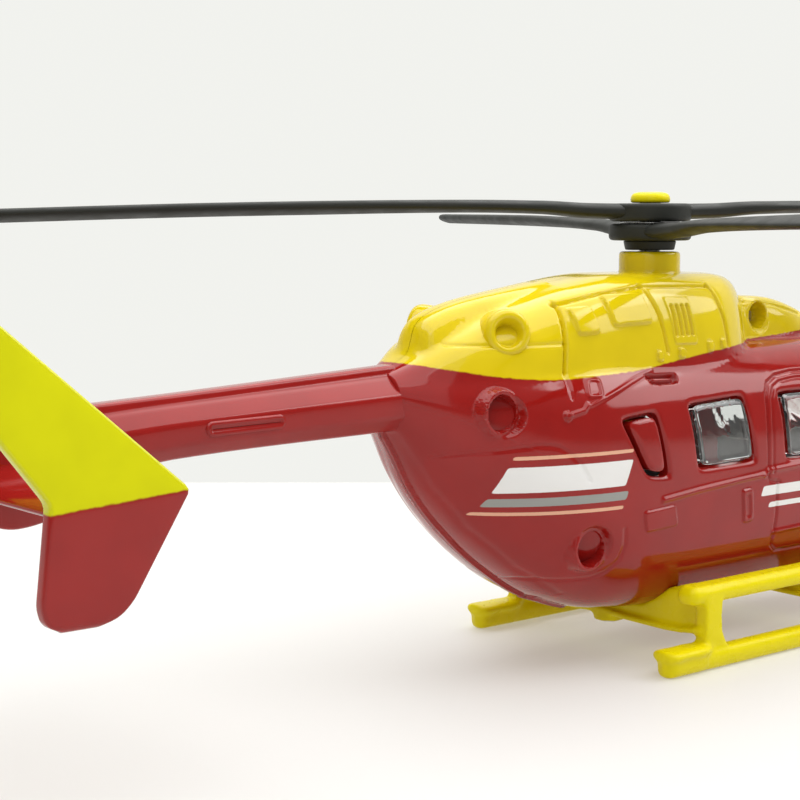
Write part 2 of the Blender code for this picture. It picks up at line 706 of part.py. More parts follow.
def skid_screw(name, x, parent, finish):
    """Screw driven up through the cross member."""
    head_top = WEB_ROWS[0][1] - GAP
    profile = (
        (SKID_SCREW_RADIUS, head_top - 1),
        (SKID_SCREW_RADIUS, head_top),
        (SCREW_SHANK_RADIUS, head_top + SHOULDER_RISE),
        (SCREW_SHANK_RADIUS, SKID_SCREW_TOP),
    )
    return add_object(name, at_station(turned(profile, BOSS_SEGMENTS), x), parent, finish)


def body_screw(name, x, z, head_y, reach, head_radius, parent, finish):
    """Screw from the left side: pan head outside, shank into the right half."""
    made = add_object(name, bar(head_radius, x, z, head_y, head_y + SCREW_HEAD_HEIGHT), parent, finish)
    joined(made, bar(SCREW_SHANK_RADIUS, x, z, reach, head_y + 0.3, BORE_SEGMENTS))
    slot, slot_floor = SCREW_SLOT
    low = (x - head_radius * 2, head_y + slot_floor, z - slot)
    cut(made, block(low, (x + head_radius * 2, OUTSIDE_Y, z + slot)))
    return made


def blade(azimuth, root_z, path):
    """One rotor blade from the hub outwards, drooping towards its tip."""
    rings = []
    for r in BLADE_STATIONS:
        z = root_z + float(through(path, np.array(float(r))))
        half_chord = float(through(BLADE_CHORD, np.array(float(r)))) / 2
        thickness = float(through(BLADE_HALF_THICKNESS, np.array(float(r))))
        section = []
        for i in range(10):
            angle = 2 * math.pi * i / 10
            radius = float(superellipse(angle, half_chord, thickness, 2.4))
            section.append((r, radius * math.sin(angle), z + radius * math.cos(angle)))
        rings.append(section)
    return moved(loft(rings), Matrix.Rotation(azimuth, 4, "Z"))


def rotor_strip(name, hub_z, azimuth, path, parent, finish):
    """Two blades and their hub ring in one strip."""
    low, high = hub_z
    made = add_object(name, disc(ROTOR_HUB_RADIUS, low, high), parent, finish)
    for turn in (azimuth, azimuth + math.pi):
        joined(made, blade(turn, (low + high) / 2 + BLADE_HEIGHT, path))
    cut(made, disc(MAST_RADIUS + GAP, low - 2, high + 2))
    return made


def ring(name, radius, low, high, parent, finish):
    made = add_object(name, disc(radius, low, high), parent, finish)
    cut(made, disc(MAST_RADIUS + GAP, low - 1, high + 1))
    return made


def rotor_mast(parent, finish):
    flange_radius, low, high = MAST_FLANGE
    profile = (
        (flange_radius, low),
        (flange_radius, high),
        (MAST_RADIUS, high + SHOULDER_RISE),
        (MAST_RADIUS, MAST_SPAN[1]),
    )
    return add_object("rotor_mast", turned(profile), parent, finish)


def rotor_cap(parent, finish):
    made = add_object("rotor_cap", turned(CAP_PROFILE), parent, finish)
    cut(made, disc(*CAP_BORE))
    return made


def tail_rotor(parent, finish):
    """Two blades on a hub that turns on the pin."""
    hub_radius, y_from, y_to = TAIL_HUB
    made = add_object("tail_rotor", bar(hub_radius, 0, 0, y_from, y_to), parent, finish)
    middle = (y_from + y_to) / 2
    t = TAIL_BLADE_HALF_THICKNESS
    chord = TAIL_BLADE_CHORD / 2
    for turn in (0, math.pi):
        outline = ((0, 1), (4, 1.1), (7, chord), (18.8, chord), (TAIL_ROTOR_RADIUS, chord - 0.7))
        edge = [(-w, r) for r, w in outline] + [(w, r) for r, w in reversed(outline)]
        body = prism(edge, middle - t, middle + t)
        joined(made, moved(body, Matrix.Rotation(TAIL_ROTOR_TILT + turn, 4, "Y")))
    cut(made, bar(TAIL_PIN_RADIUS + GAP, 0, 0, 0, OUTSIDE_Y, BORE_SEGMENTS))
    return made


def tail_rotor_pin(parent, finish):
    x, z = GEARBOX_CENTRE
    head_radius, head_from, head_to = TAIL_PIN_HEAD
    shank = bar(TAIL_PIN_RADIUS, x, z, GEARBOX_ROOT_Y + 2 * GAP, head_from + GAP, BORE_SEGMENTS)
    made = add_object("tail_rotor_pin", shank, parent, finish)
    joined(made, bar(head_radius, x, z, head_from, head_to))
    return made


def clear_scene():
    for made in list(bpy.data.objects):
        bpy.data.objects.remove(made, do_unlink=True)


def main():
    clear_scene()
    red = material("red_paint", RED, 0.2)
    yellow = material("yellow_plastic", YELLOW, 0.3)
    black = material("black_plastic", BLACK, 0.45)
    grey = material("grey_plastic", GREY, 0.5)
    steel = material("plated_steel", STEEL, 0.3, 1.0)
    clear = material("clear_plastic", CLEAR, 0.05, clear=True)

    mast = pivot("mast_station", (MAST_X, 0, 0))
    tail_axis = pivot("tail_rotor_axis", (GEARBOX_CENTRE[0], 0, GEARBOX_CENTRE[1]), mast)

    for side, hand in ((-1, "right"), (1, "left")):
        cast_half(f"body_shell_{hand}", side, mast, red)
        glazing(f"glazing_{hand}", side, mast, clear)
        windscreen(f"windscreen_{hand}", side, mast, clear)
        add_object(f"window_plug_{hand}", pane(side, PLUG_WINDOW, WALL), mast, red)
    cabin_interior(mast, grey)
    stabiliser(mast, red)
    skid_gear(mast, yellow)
    for place, x in zip(("rear", "front"), SKID_SCREW_STATIONS):
        skid_screw(f"skid_screw_{place}", x, mast, steel)
    for number, (x, z) in enumerate(BOSSES, 1):
        head_y = skin_y(x, z) - WELL_DEPTH + GAP
        body_screw(f"body_screw_{number}", x, z, head_y, -SCREW_REACH, SCREW_HEAD_RADIUS, mast, steel)
    last = f"body_screw_{len(BOSSES) + 1}"
    body_screw(last, *BOOM_SCREW, BOOM_SCREW_SEAT_Y + GAP, -BOOM_SCREW_REACH, BOOM_SCREW_RADIUS, mast, steel)

    rotor_mast(mast, steel)
    ring("rotor_collar", *DRIVE_COLLAR, mast, black)
    rotor_strip("rotor_blades_lower", LOWER_HUB_Z, LOWER_BLADE_AZIMUTH, LOWER_BLADE_PATH, mast, black)
    ring("friction_washer", *WASHER, mast, steel)
    rotor_strip("rotor_blades_upper", UPPER_HUB_Z, UPPER_BLADE_AZIMUTH, UPPER_BLADE_PATH, mast, black)
    rotor_cap(mast, yellow)
    tail_rotor(tail_axis, black)
    tail_rotor_pin(mast, steel)


main()
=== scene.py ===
"""Visual model of the die-cast rescue helicopter, about 1:50, and the studio it stands in.

Lengths are in millimetres, measured from the rotor mast's station on the ground, as in the CAD source: +X to
the nose, +Y to port, +Z up. `side` is -1 for the right (starboard) half and +1 for the left (port) half.
"""

import json
import math

import bpy
import numpy as np
from mathutils import Matrix, Vector

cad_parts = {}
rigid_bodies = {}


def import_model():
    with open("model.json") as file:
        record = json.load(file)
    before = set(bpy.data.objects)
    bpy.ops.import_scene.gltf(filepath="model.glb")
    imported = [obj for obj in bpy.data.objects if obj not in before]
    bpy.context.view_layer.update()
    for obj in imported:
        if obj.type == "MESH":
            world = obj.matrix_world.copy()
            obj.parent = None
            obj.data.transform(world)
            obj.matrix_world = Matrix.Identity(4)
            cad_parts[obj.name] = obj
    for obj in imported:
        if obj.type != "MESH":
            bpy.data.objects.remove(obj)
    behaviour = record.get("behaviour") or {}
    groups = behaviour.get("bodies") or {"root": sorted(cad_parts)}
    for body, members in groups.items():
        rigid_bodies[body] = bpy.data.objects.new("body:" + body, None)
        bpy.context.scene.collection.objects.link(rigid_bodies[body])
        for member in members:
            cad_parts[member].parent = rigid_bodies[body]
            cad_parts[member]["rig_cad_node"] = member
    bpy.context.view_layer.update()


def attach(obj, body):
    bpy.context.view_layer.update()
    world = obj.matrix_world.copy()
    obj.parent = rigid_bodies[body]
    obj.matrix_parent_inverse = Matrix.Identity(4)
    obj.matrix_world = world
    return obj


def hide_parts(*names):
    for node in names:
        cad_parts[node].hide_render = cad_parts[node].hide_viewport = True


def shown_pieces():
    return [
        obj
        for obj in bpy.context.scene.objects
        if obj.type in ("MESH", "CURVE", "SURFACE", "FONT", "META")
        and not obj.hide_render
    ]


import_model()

MM = 0.001
MAST_X = 20.7
SIDES = ((-1, "right"), (1, "left"))

# Camera and studio
CAMERA_PLACE = (-202.1, -184.2, 65.2)
CAMERA_HEADING = (0.637, 0.771)
CAMERA_PITCH = math.radians(-5.9)
CAMERA_LENS = 78.75
FLOOR_EDGE = 431
FLOOR_REACH = 2500

# Fuselage pod, as in the CAD source: (station, value) pairs
POD_TOP = ((-53.5, 44.4), (-50, 45.3), (-40, 46.4), (28, 46.4), (37, 45.4), (47, 41), (56, 34), (62, 28.5),
           (66, 24.4), (69, 20.6))
POD_BOTTOM = ((-53.5, 36.6), (-51.3, 33.2), (-48, 27.6), (-42.6, 21.5), (-35, 15.2), (-27, 10.4),
              (-18, 7.6), (-5, 6.5), (35, 6.3), (48, 7.5), (57, 10), (63, 13.3), (67, 16.8), (69, 20))
POD_HALF_WIDTH = ((-53.5, 4.4), (-52, 5.6), (-48, 8.4), (-42, 12), (-34, 15.1), (-25, 16.8), (-15, 17.3),
                  (30, 17.3), (42, 16.4), (52, 14), (60, 10.8), (66, 6.3), (69, 2))
POD_WIDEST = ((-53.5, 41), (-45, 37.5), (-30, 31), (-15, 28), (30, 26), (50, 22.5), (69, 20.3))
POD_ROUNDNESS_ABOVE = ((-53.5, 2.3), (-40, 2.6), (-20, 3.2), (69, 3))
POD_ROUNDNESS_BELOW = ((-53.5, 2.1), (-40, 2.3), (-20, 2.7), (69, 2.4))
POD_SPAN = (-53.5, 69)
COWL = (
    ((-54, 2.5), (-50, 5.8), (-44, 9.3), (-36, 11.8), (-25, 13.2), (-8, 13.6), (2, 13.1), (8, 11.7),
     (12, 9.4), (15, 6.6), (16.8, 3.6)),
    ((-54, 43.6), (-50, 45.9), (-46.5, 48.1), (-40, 51.2), (-32, 53.8), (-22, 56), (-10, 57.2), (8, 57),
     (12, 56.6), (15, 55.6), (16.8, 54)),
    (-54, 16.8),
)
DORSAL = (
    ((-48.6, 3.2), (-46.8, 4.2), (-40, 5), (-24, 5.6)),
    ((-48.6, 46.5), (-47.4, 50.4), (-46, 51.7), (-40, 53.7), (-32, 55), (-24, 56)),
    (-48.6, -24),
)
INTAKE = (((11, 7.2), (28, 6.8), (37, 5.5)), ((11, 53.4), (24, 52.8), (32, 50.9), (37, 48.6)), (11, 37.2))
SECTION_SAMPLES = 600
BREADTH_SAMPLES = 30
ROOF_ROUNDNESS = 4
ROOF_FILLET = 0.7
SEAM_GAP = 0.04
LINER_INSET = 1.3
LINER_SPAN = (-50, 67)

# Openings in side view: (station, height) corners
PLUG_WINDOW = ((-23.4, 37.4), (-16, 38.1), (-13.8, 28.4), (-18.6, 28.8))
REAR_WINDOW = ((-9.2, 38.6), (3.6, 39.2), (5.4, 29), (-7.6, 28.8))
DOOR_WINDOW = ((11.6, 39.1), (27.4, 39.1), (28, 28.6), (12.6, 28.6))
COCKPIT_WINDOW = ((33.6, 38.8), (39, 38.4), (45.4, 29), (34, 28.4))
WINDSCREEN = ((43.4, 43.2), (66, 43.2), (66, 27), (58, 27.6), (48.6, 29.8))
SIDE_WINDOWS = (REAR_WINDOW, DOOR_WINDOW, COCKPIT_WINDOW)
OPENINGS = (PLUG_WINDOW, *SIDE_WINDOWS, WINDSCREEN)
CORNER_SOFTNESS = 0.5
CENTRE_POST_HALF_WIDTH = 1.3
SCREEN_SPAN = (43, 67)
SCREEN_TURN = (0.02, 1.6)
SCREEN_THICKNESS = 1.0
PANE_DEPTH = 2
EDGE_ROUNDING = 0.7
EDGE_DROP = 0.45
WALL_DEPTH = 1.5

# Screw wells: (station, height, outer radius), and the steps of each one's hole:
# (share of the radius, depth, station offset, height offset, edge width)
WELLS = ((-41.9, 39.1, 3.5), (-27.6, 19.2, 3.5), (19.2, 50, 2.9), (56, 15.5, 2.6))
WELL_STEPS = ((0.74, 1.9, 0, 0, 0.35), (0.5772, 3, 0.25, -0.2, 0.3), (0.1924, -2.2, 0.5, 0.5, 0.25))
WELL_RIM_DROP = 0.1
WELL_EDGE = 0.45

# Lines in side view on the pod: (points, half width, height); a negative height is a groove
LINES = (
    (((-14.1, 43.6), (-19.8, 42.1), (-25.8, 40.3), (-28.4, 39.5)), 0.26, 0.2),
    (((-28.9, 39.6), (-29.6, 38.9), (-32, 38.4)), 0.3, 0.32),
    (((-49.3, 33.2), (-46.2, 33.7), (-42.2, 34), (-37, 34.5), (-35.5, 34.4), (-34, 34.1), (-32.8, 33.4),
      (-31.4, 32.3), (-30.2, 30.9), (-29.2, 29.3)), 0.3, -0.16),
    (((-32.9, 14.3), (-28, 14.4), (-25.7, 14.6), (-23.9, 15.4), (-22.4, 17.1), (-22, 19.3), (-22.4, 21.6)),
     0.3, -0.16),
    (((-15.2, 25.2), (-7.4, 25.9), (1.5, 26.5), (6.7, 26.8)), 0.4, 0.35),
    (((7.2, 26.7), (8, 27.3), (15.8, 27.6), (31.6, 27.7)), 0.4, 0.35),
    (((11.1, 25.3), (8.6, 25.8), (8.3, 27.4), (8.2, 35), (8.6, 38.4), (9.8, 40.4), (12.4, 41.4), (16.6, 41.8),
      (28.6, 41.8), (30.4, 41), (31.2, 39), (31.6, 27), (31.2, 16), (29.4, 14.2), (12.6, 14.2), (11, 15.4),
      (10.4, 25.6)), 0.24, -0.28),
    (((9.5, 27), (9.4, 35), (9.9, 38.2), (11, 39.8), (13, 40.5), (16.6, 40.8), (28, 40.8), (29.6, 40),
      (30.2, 38.4), (30.5, 27)), 0.22, -0.18),
    (((33, 41.4), (32.6, 27), (33, 15.4), (45, 15.4), (46.6, 17), (48, 28)), 0.22, -0.2),
    (((10.6, 17.6), (17.1, 17.8), (30.5, 17.8)), 0.35, 0.3),
    (((-53, 36.2), (-51.2, 33.6), (-48, 28.6), (-42.6, 22.6), (-35, 16.4), (-27, 11.6)), 0.3, -0.12),
)

# Lines on the cowling and intake
COWL_LINES = (
    (((-28.9, 53.4), (-29.8, 48), (-30.6, 44)), 0.27, -0.8),
    (((-30.6, 44), (-31, 40.6)), 0.24, -0.12),
    (((-11.9, 55.6), (-10.7, 51), (-10, 46)), 0.27, -0.65),
    (((3.1, 55.4), (4.2, 50), (4.6, 46.2)), 0.27, -0.8),
    (((-29.5, 53.2), (-22, 54.4), (-12, 55.5), (3.1, 55.2)), 0.22, -0.5),
    (((-46, 48.2), (-38, 48), (-29.8, 48)), 0.24, -0.2),
    (((12.5, 52.6), (24, 51.6), (31.5, 49.8)), 0.24, -0.25),
)

# Raised or sunk pads: (corners, height, edge width)
PADS = (
    (((-19.1, 23.8), (-12.8, 24.2), (-12, 21.2), (-18.4, 20.9)), 0.3, 0.28),
    (((2.1, 24.9), (4.4, 25), (5, 20), (2.8, 19.9)), 0.32, 0.28),
    (((2.8, 24.2), (3.8, 24.3), (4.3, 20.7), (3.4, 20.6)), -0.22, 0.25),
    (((-16.2, 43), (-9.4, 42.8), (-9.8, 41.6), (-15.4, 41.7)), -0.75, 0.35),
    (((-15, 42.7), (-10.2, 42.5), (-10.4, 42), (-14.7, 42.1)), 0.5, 0.25),
    (((-27.8, 43.1), (-25, 43.1), (-25.7, 40.5), (-28.6, 40.5)), 0.16, 0.25),
    (((-27.3, 42.7), (-25.5, 42.7), (-26.1, 40.9), (-28, 40.9)), -0.16, 0.2),
    (((-9, 53.8), (-3.6, 53.6), (-3.4, 46.9), (-8.4, 47)), 0.22, 0.3),
    (((-27.9, 52.6), (-23.9, 52.8), (-23.4, 49.3), (-27.3, 49.1)), 0.6, 0.4),
    (((-21, 54.3), (-13.4, 54.5), (-12.8, 50.3), (-20.4, 50.1)), 0.55, 0.4),
    (((-12.6, 46.2), (-11.4, 46.2), (-11.3, 44.7), (-12.5, 44.7)), 0.45, 0.2),
    (((-7.9, 46.5), (-6.6, 46.5), (-6.5, 44.9), (-7.8, 44.9)), 0.45, 0.2),
    (((-1.1, 47.2), (0.2, 47.2), (0.2, 45.5), (-1.1, 45.5)), 0.45, 0.3),
    (((2.1, 47.4), (3.3, 47.4), (3.4, 45.8), (2.2, 45.8)), 0.45, 0.2),
)
# Mesh density of the pod: the grid it starts from, and the edges it is refined to
POD_GRID = (120, 58)
REFINING_PASSES = 6
DETAIL_EDGE = 0.34
PLAIN_EDGE = 1.15
EDGE_GROWTH = 0.7
LOUVRE_PANEL = PADS[7][0]
PAD_SOFTNESS = 0.2
LOUVRES = 4
LOUVRE_SPAN = (-7.9, -4.4)
LOUVRE_HEIGHTS = (48, 52.8)
LOUVRE_HALF_WIDTH = 0.27
LOUVRE_DEPTH = 0.55
LOUVRE_EDGE = 0.16
EXHAUST_PLACE = (-39, -10.2, 49.8)
EXHAUST_AIM = (-0.42, -0.9, 0.12)
EXHAUST_PROFILE = ((3.45, -5), (3.35, -1), (3.1, -0.3), (2.6, 0), (2.1, -0.1), (1.6, -1), (1.1, -2.3),
                   (0.01, -2.7))
KEEL_HALF_WIDTH = 0.9
KEEL_HEIGHT = 0.45
KEEL_END = -26
TAB_HALF_WIDTH = 2.4
TAB_HEIGHT = 0.5
TAB_END = -19.5
KNOB = (-32.5, 38.3, 0.8, 0.6)

# Paint masks on the castings
PAINT_LINE = ((-53.5, 46.4), (-50.5, 45.6), (-44.9, 44.5), (-38.1, 43.5), (-31.9, 43.1), (-24.8, 43.3),
              (-17.6, 43.6), (-7.7, 44.7), (-0.6, 45.5), (8, 46.1), (12.6, 46.3), (29.7, 47.2), (37.2, 48.2),
              (39, 60))
FIN_PAINT = (-90, 44)
POD_PAINT_SPAN = (-53.4, 38)
PLATES_START = -98
FAR_BELOW = -9.0
PRINTS = {
    "white_print": ((-41, 31.6, 19.6, 3.6), (7.2, 25, 22, 1.5), (8.8, 22.4, 20.4, 0.8)),
    "grey_print": ((-42.6, 27.2, 20.4, 1.2),),
    "peach_print": ((-40.4, 33.1, 19.2, 0.5), (-43.6, 25.2, 20.6, 0.5)),
}
PRINT_SLANT = 0.4
PRINT_SOFTNESS = 0.12

# Tail boom: (station, top, bottom, half width)
BOOM = ((-52, 45.5, 36.7, 4.7), (-87, 43.7, 35.8, 4), (-97, 43.25, 34.5, 3.8), (-104, 42.9, 30.2, 3.5),
        (-109, 42.6, 29.4, 3.2), (-114, 41.4, 31.2, 2.3), (-116.6, 40.6, 34.4, 1.5), (-117, 39.6, 36, 0.7))
BOOM_SLOT = (-78.3, 39.5, 5.8, 0.8)
# Rings of the oblong on the boom: (share of its half height, how far out)
SLOT_RINGS = ((1.25, -0.2), (1.15, 0.12), (0.95, 0.3), (0.55, 0.3), (0.4, 0.16), (0.05, 0.12))
SLOT_WIDTHS = ((-96, 3.85), (-52, 4.7))
FIN_ROOT = ((-97.5, 42), (-117, 37))
FIN_TIP = ((-127.5, 67), (-137, 67))
FIN_HALF_THICKNESS = (1.9, 1.1)
FIN_FULLNESS = 1.518
FIN_TIP_START = 0.97
COLLAR = ((1.9, 60.3), (4.7, 60.3), (4.7, 56.9), (6.6, 56.1))
GEARBOX = (-131, 59.4, 2.6, 3)

# Stabiliser and end plates
STAB_HALF_SPAN = 27.7
STAB_EDGES = ((-104.2, 36.8), (-118, 35.3))
STAB_FULLNESS = 2.31
PLATE_THICKNESS = 1.9
PLATE_CANT = math.radians(11)
PLATE_FRONT = ((23.6, -114.6), (23.9, -112.9), (24.6, -111.2), (26, -109.7), (36.9, -102.7), (58.6, -126.6),
               (59.8, -129))
PLATE_BACK = ((23.6, -117.6), (23.9, -119), (24.8, -120.1), (26.4, -120.5), (36.8, -119.3), (58.4, -134.6),
              (59.8, -134))
PLATE_CORNER = 0.5
PLATE_ENDS = 1.6
PLATE_END_ROUNDING = 0.8
PLATE_CREASE = ((-102.9, 36.9), (-119.2, 35.8))
FOLD_SOFTNESS = 0.5

# Skid gear
SKID_HALF_TRACK = 19.95
CROSS_STATIONS = (-8, 26)
STEP_SPAN = (-12.5, 31)
STEP_Y = (17, 21)
STEP_Z = (9.7, 12.4)
STEP_END = 1.6
LEG_ROWS = ((1.2, 2.6, 4.6), (2.7, 2.2, 3.6), (3.8, 1.9, 2.7), (5.2, 1.7, 2), (7.5, 1.6, 1.7),
            (11.6, 1.8, 1.9))
LEG_HALF_THICKNESS = 1.1
WEB_ROWS = ((0, 4.9, 6.8), (8, 4.7, 7.8), (13, 4.6, 10.9), (16.4, 4.8, 12), (19.9, 5.3, 12.1))
SKID_PATH = ((-10, 1.55), (30, 1.55), (36, 1.65), (39, 2), (41, 2.6), (43, 3.9), (44.3, 5.2))
FOOT_TOP = ((-18.1, 0.45), (-17.9, 0.75), (-17.3, 0.95), (-16.3, 1), (-14.8, 0.9), (-13.5, 0.9), (-11.8, 1),
            (-10, 0.85), (-8.6, 0.5))
FOOT_HEEL = ((-17.6, 0.6), (-17.3, 0.85), (-16.7, 1), (-10.6, 1), (-9, 0.8))
# Bars of the foot: (height, half width, half height, (station, share of the width) pairs)
FOOT_BARS = ((3.15, 2.6, 0.8, FOOT_TOP), (1.7, 1.85, 1.7, FOOT_HEEL))
FOOT_SPUR = ((-17.9, -17), (-0.25, 0.25), (0.8, 2.8))
TUBE_HALF_SIZE = (1.65, 1.55)
WEB_HALF_THICKNESS = 1.2
FLANGE_HALF_WIDTH = 2.1
FLANGE_THICKNESS = 0.9
SCREW_BOSS = ((1.8, 3.8), (2.4, 3.8), (2.4, 6), (1.8, 6), (1.8, 3.8))
BAR_SIDES = 24
VOXEL = 0.3
SMOOTHING_PASSES = 7

# Rotor
LOWER_AZIMUTH = math.radians(65)
UPPER_AZIMUTH = math.radians(-24)
UPPER_PATH = ((3, 0), (10, 0.15), (18, 0.65), (28, 0.8), (55, 0.4), (70, 0.1), (97, -0.7), (110, -1.1))
LOWER_PATH = ((3, 0), (10, 0.2), (20, 0.9), (42, 1.4), (75, 1.7), (110, 1.9))
BLADE_CHORD = ((3, 7.4), (8, 5.6), (14, 4.8), (24, 6), (108, 6), (109.5, 5.4), (110, 4))
BLADE_HALF_THICKNESS = ((3, 1.25), (12, 1.15), (20, 1), (30, 0.96), (110, 0.9))
BLADE_REACH = (3, 110)
BLADE_RIDGE_END = 30
BLADE_TIP_START = 106
LOWER_HUB_Z = (61.95, 64.5)
UPPER_HUB_Z = (64.85, 67.6)
BLADE_HEIGHT = 0.1
BLADE_PITCH = math.radians(9)
PITCH_SPAN = (20, 55)
EDGE_THINNING = 0.35
THINNING_SPAN = (14, 26)
HUB_RADIUS = 6.3
HUB_BORE = 2.0
BOLT_CIRCLE = 4.4
BOLT_RADIUS = 0.75
BOLT_SINK = 0.12
# Turned profiles: (radius, height) corners
DRIVE_COLLAR = ((1.95, 60.5), (3.75, 60.5), (4.05, 61.9), (1.95, 61.9))
HUB_WASHER = ((1.95, 64.52), (4.6, 64.52), (4.6, 64.83), (1.95, 64.83))
SHAFT = ((0.01, 49), (3.4, 49), (3.4, 50.4), (1.6, 50.5), (1.6, 68.1), (0.01, 68.2))
CAP = ((2, 67.7), (3, 67.7), (3.05, 68.5), (2.7, 69.1), (1.7, 69.35), (0.9, 69.3), (0.01, 69.3))
TAIL_HUB = ((1.05, 3.6), (2.2, 3.6), (2.2, 6), (1.05, 6))
TAIL_PIN = ((0.7, 1.2), (0.7, 6.3), (1.5, 6.3), (1.5, 7), (0.01, 7.15))
TAIL_ROTOR_Y = 4.8
TAIL_ROTOR_TILT = math.radians(32)
TAIL_BLADE = ((0.5, 1.8), (4, 1.9), (7, 3.4), (18.2, 3.6), (19.2, 2.8), (19.6, 1.4))

RED = (0.27, 0.008, 0.006)
YELLOW = (0.7, 0.53, 0.004)
PLATE_YELLOW = (0.62, 0.61, 0.002)
SKID_YELLOW = (0.78, 0.66, 0.002)
RED_DARK = (0.27, 0.01, 0.008)
BLACK = (0.02, 0.021, 0.017)
ZINC = (0.62, 0.63, 0.62)
GREY = (0.3, 0.31, 0.31)
STEEL = (0.6, 0.6, 0.59)
WHITE = (0.8, 0.79, 0.77)
SILVER = (0.3, 0.3, 0.28)
PEACH = (0.75, 0.4, 0.26)
CLEAR_TONES = ((0.93, 0.96, 0.95), (0.97, 0.98, 0.97))
BACKDROP = (0.885, 0.89, 0.855)
FLOOR_TONES = ((0.42, 0.42, 0.425), (0.44, 0.44, 0.445))
# The floor's warm glow is painted light: it lightens the shadows cast on the floor and tints them warm
FLOOR_GLOW = (1, 0.95, 0.82, 1)
FLOOR_GLOW_STRENGTH = 0.33

# The surroundings' brightness in reflections: (height of the direction, colour)
WORLD_STOPS = ((0, (0.3, 0.3, 0.29)), (0.3, (0.22, 0.22, 0.22)), (0.7, (0.4, 0.4, 0.4)))
# Soft lights: (name, place, aim, width, depth, watts)
LIGHTS = (
    ("overhead", (75, 25, 560), (75, 25, 0), 1150, 950, 8),
    ("side", (600, -416, 536), (-30, -11, 41), 440, 440, 2),
    ("front_fill", (-420, -420, 330), (-20, 0, 30), 500, 500, 0.6),
)


# ---- Curves ----


def through(points, x):
    """Smooth curve through the points that never overshoots them (Fritsch and Carlson's slopes)."""
    px, py = (np.array(column, float) for column in zip(*sorted(points)))
    step = np.diff(px)
    rise = np.diff(py) / step
    slope = np.concatenate([rise[:1], np.zeros(len(px) - 2), rise[-1:]])
    same_way = rise[:-1] * rise[1:] > 0
    weight = 3 * (step[:-1] + step[1:])
    before = (2 * step[1:] + step[:-1]) / np.where(same_way, rise[:-1], 1)
    after = (step[1:] + 2 * step[:-1]) / np.where(same_way, rise[1:], 1)
    slope[1:-1] = np.where(same_way, weight / np.where(same_way, before + after, 1), 0)
    x = np.clip(x, px[0], px[-1])
    i = np.clip(np.searchsorted(px, x) - 1, 0, len(step) - 1)
    t = (x - px[i]) / step[i]
    start = py[i] * (1 + 2 * t) * (1 - t) ** 2 + step[i] * slope[i] * t * (1 - t) ** 2
    end = py[i + 1] * t * t * (3 - 2 * t) + step[i] * slope[i + 1] * t * t * (t - 1)
    return start + end


def superellipse(angle, half_width, height, power):
    across = np.abs(np.sin(angle)) / half_width
    along = np.abs(np.cos(angle)) / height
    return (across**power + along**power) ** (-1 / power)


def smooth_step(t):
    t = np.clip(t, 0, 1)
    return t * t * (3 - 2 * t)


def along_span(x, span):
    """0 before the span, 1 after it, and a smooth rise between."""
    return smooth_step((x - span[0]) / (span[1] - span[0]))


def roof_shape(x, angle, centre, half_width, top, span):
    """A raised shape's radius, or 0 where it isn't there."""
    above = (x >= span[0]) & (x <= span[1]) & (np.cos(angle) > 0)
    height = np.maximum(through(top, x) - centre, 0.1)
    radius = superellipse(angle, through(half_width, x), height, ROOF_ROUNDNESS)
    return np.where(above, radius, 0)


def pod_radius(x, angle, roof=(COWL, DORSAL, INTAKE)):
    centre = through(POD_WIDEST, x)
    above = np.cos(angle) > 0
    height = np.where(above, through(POD_TOP, x) - centre, centre - through(POD_BOTTOM, x))
    power = np.where(above, through(POD_ROUNDNESS_ABOVE, x), through(POD_ROUNDNESS_BELOW, x))
    radius = superellipse(angle, through(POD_HALF_WIDTH, x), height, power)
    for shape in roof:
        roofed = roof_shape(x, angle, centre, *shape)
        radius = (radius + roofed + np.sqrt((radius - roofed) ** 2 + ROOF_FILLET**2)) / 2
    return radius


def pod_point(x, angle, inset=0.0, roof=(COWL, DORSAL, INTAKE)):
    """Points of the right half's skin."""
    radius = pod_radius(x, angle, roof) - inset
    return np.column_stack([x, -radius * np.sin(angle), through(POD_WIDEST, x) + radius * np.cos(angle)])


def skin_y(x, z):
    """Half breadth of the pod at a station and a height."""
    section = pod_point(np.full(SECTION_SAMPLES, float(x)), np.linspace(0, math.pi, SECTION_SAMPLES))
    return -float(section[np.argmin(np.abs(section[:, 2] - z)), 1])


def outline_distance(corners, x, z, softness=CORNER_SOFTNESS):
    """Signed distance to a convex outline with soft corners, positive outside it."""
    points = np.array(corners, float)
    after = np.roll(points, -1, axis=0)
    along = after - points
    normal = np.column_stack([along[:, 1], -along[:, 0]]) / np.linalg.norm(along, axis=1)[:, None]
    middle = points.mean(axis=0)
    flip = np.sign(((points - middle) * normal).sum(axis=1))
    normal *= flip[:, None]
    sides = [(x - p[0]) * n[0] + (z - p[1]) * n[1] for p, n in zip(points, normal)]
    far = np.max(sides, axis=0)
    return far + softness * np.log(sum(np.exp((s - far) / softness) for s in sides))


def line_distance(points, x, z):
    """Distance to a line of straight pieces."""
    nearest = np.full(len(x), 1e9)
    for (ax, az), (bx, bz) in zip(points, points[1:]):
        length = (bx - ax) ** 2 + (bz - az) ** 2
        t = np.clip(((x - ax) * (bx - ax) + (z - az) * (bz - az)) / length, 0, 1)
        nearest = np.minimum(nearest, np.hypot(x - ax - t * (bx - ax), z - az - t * (bz - az)))
    return nearest


# ---- Pod skin ----


def open_distance(points):
    """Distance to the nearest opening's outline, negative inside it."""
    x, y, z = points.T
    found = [outline_distance(corners, x, z) for corners in OPENINGS[:-1]]
    screen = outline_distance(WINDSCREEN, x, z)
    found.append(np.maximum(screen, CENTRE_POST_HALF_WIDTH + y))
    return np.min(found, axis=0)


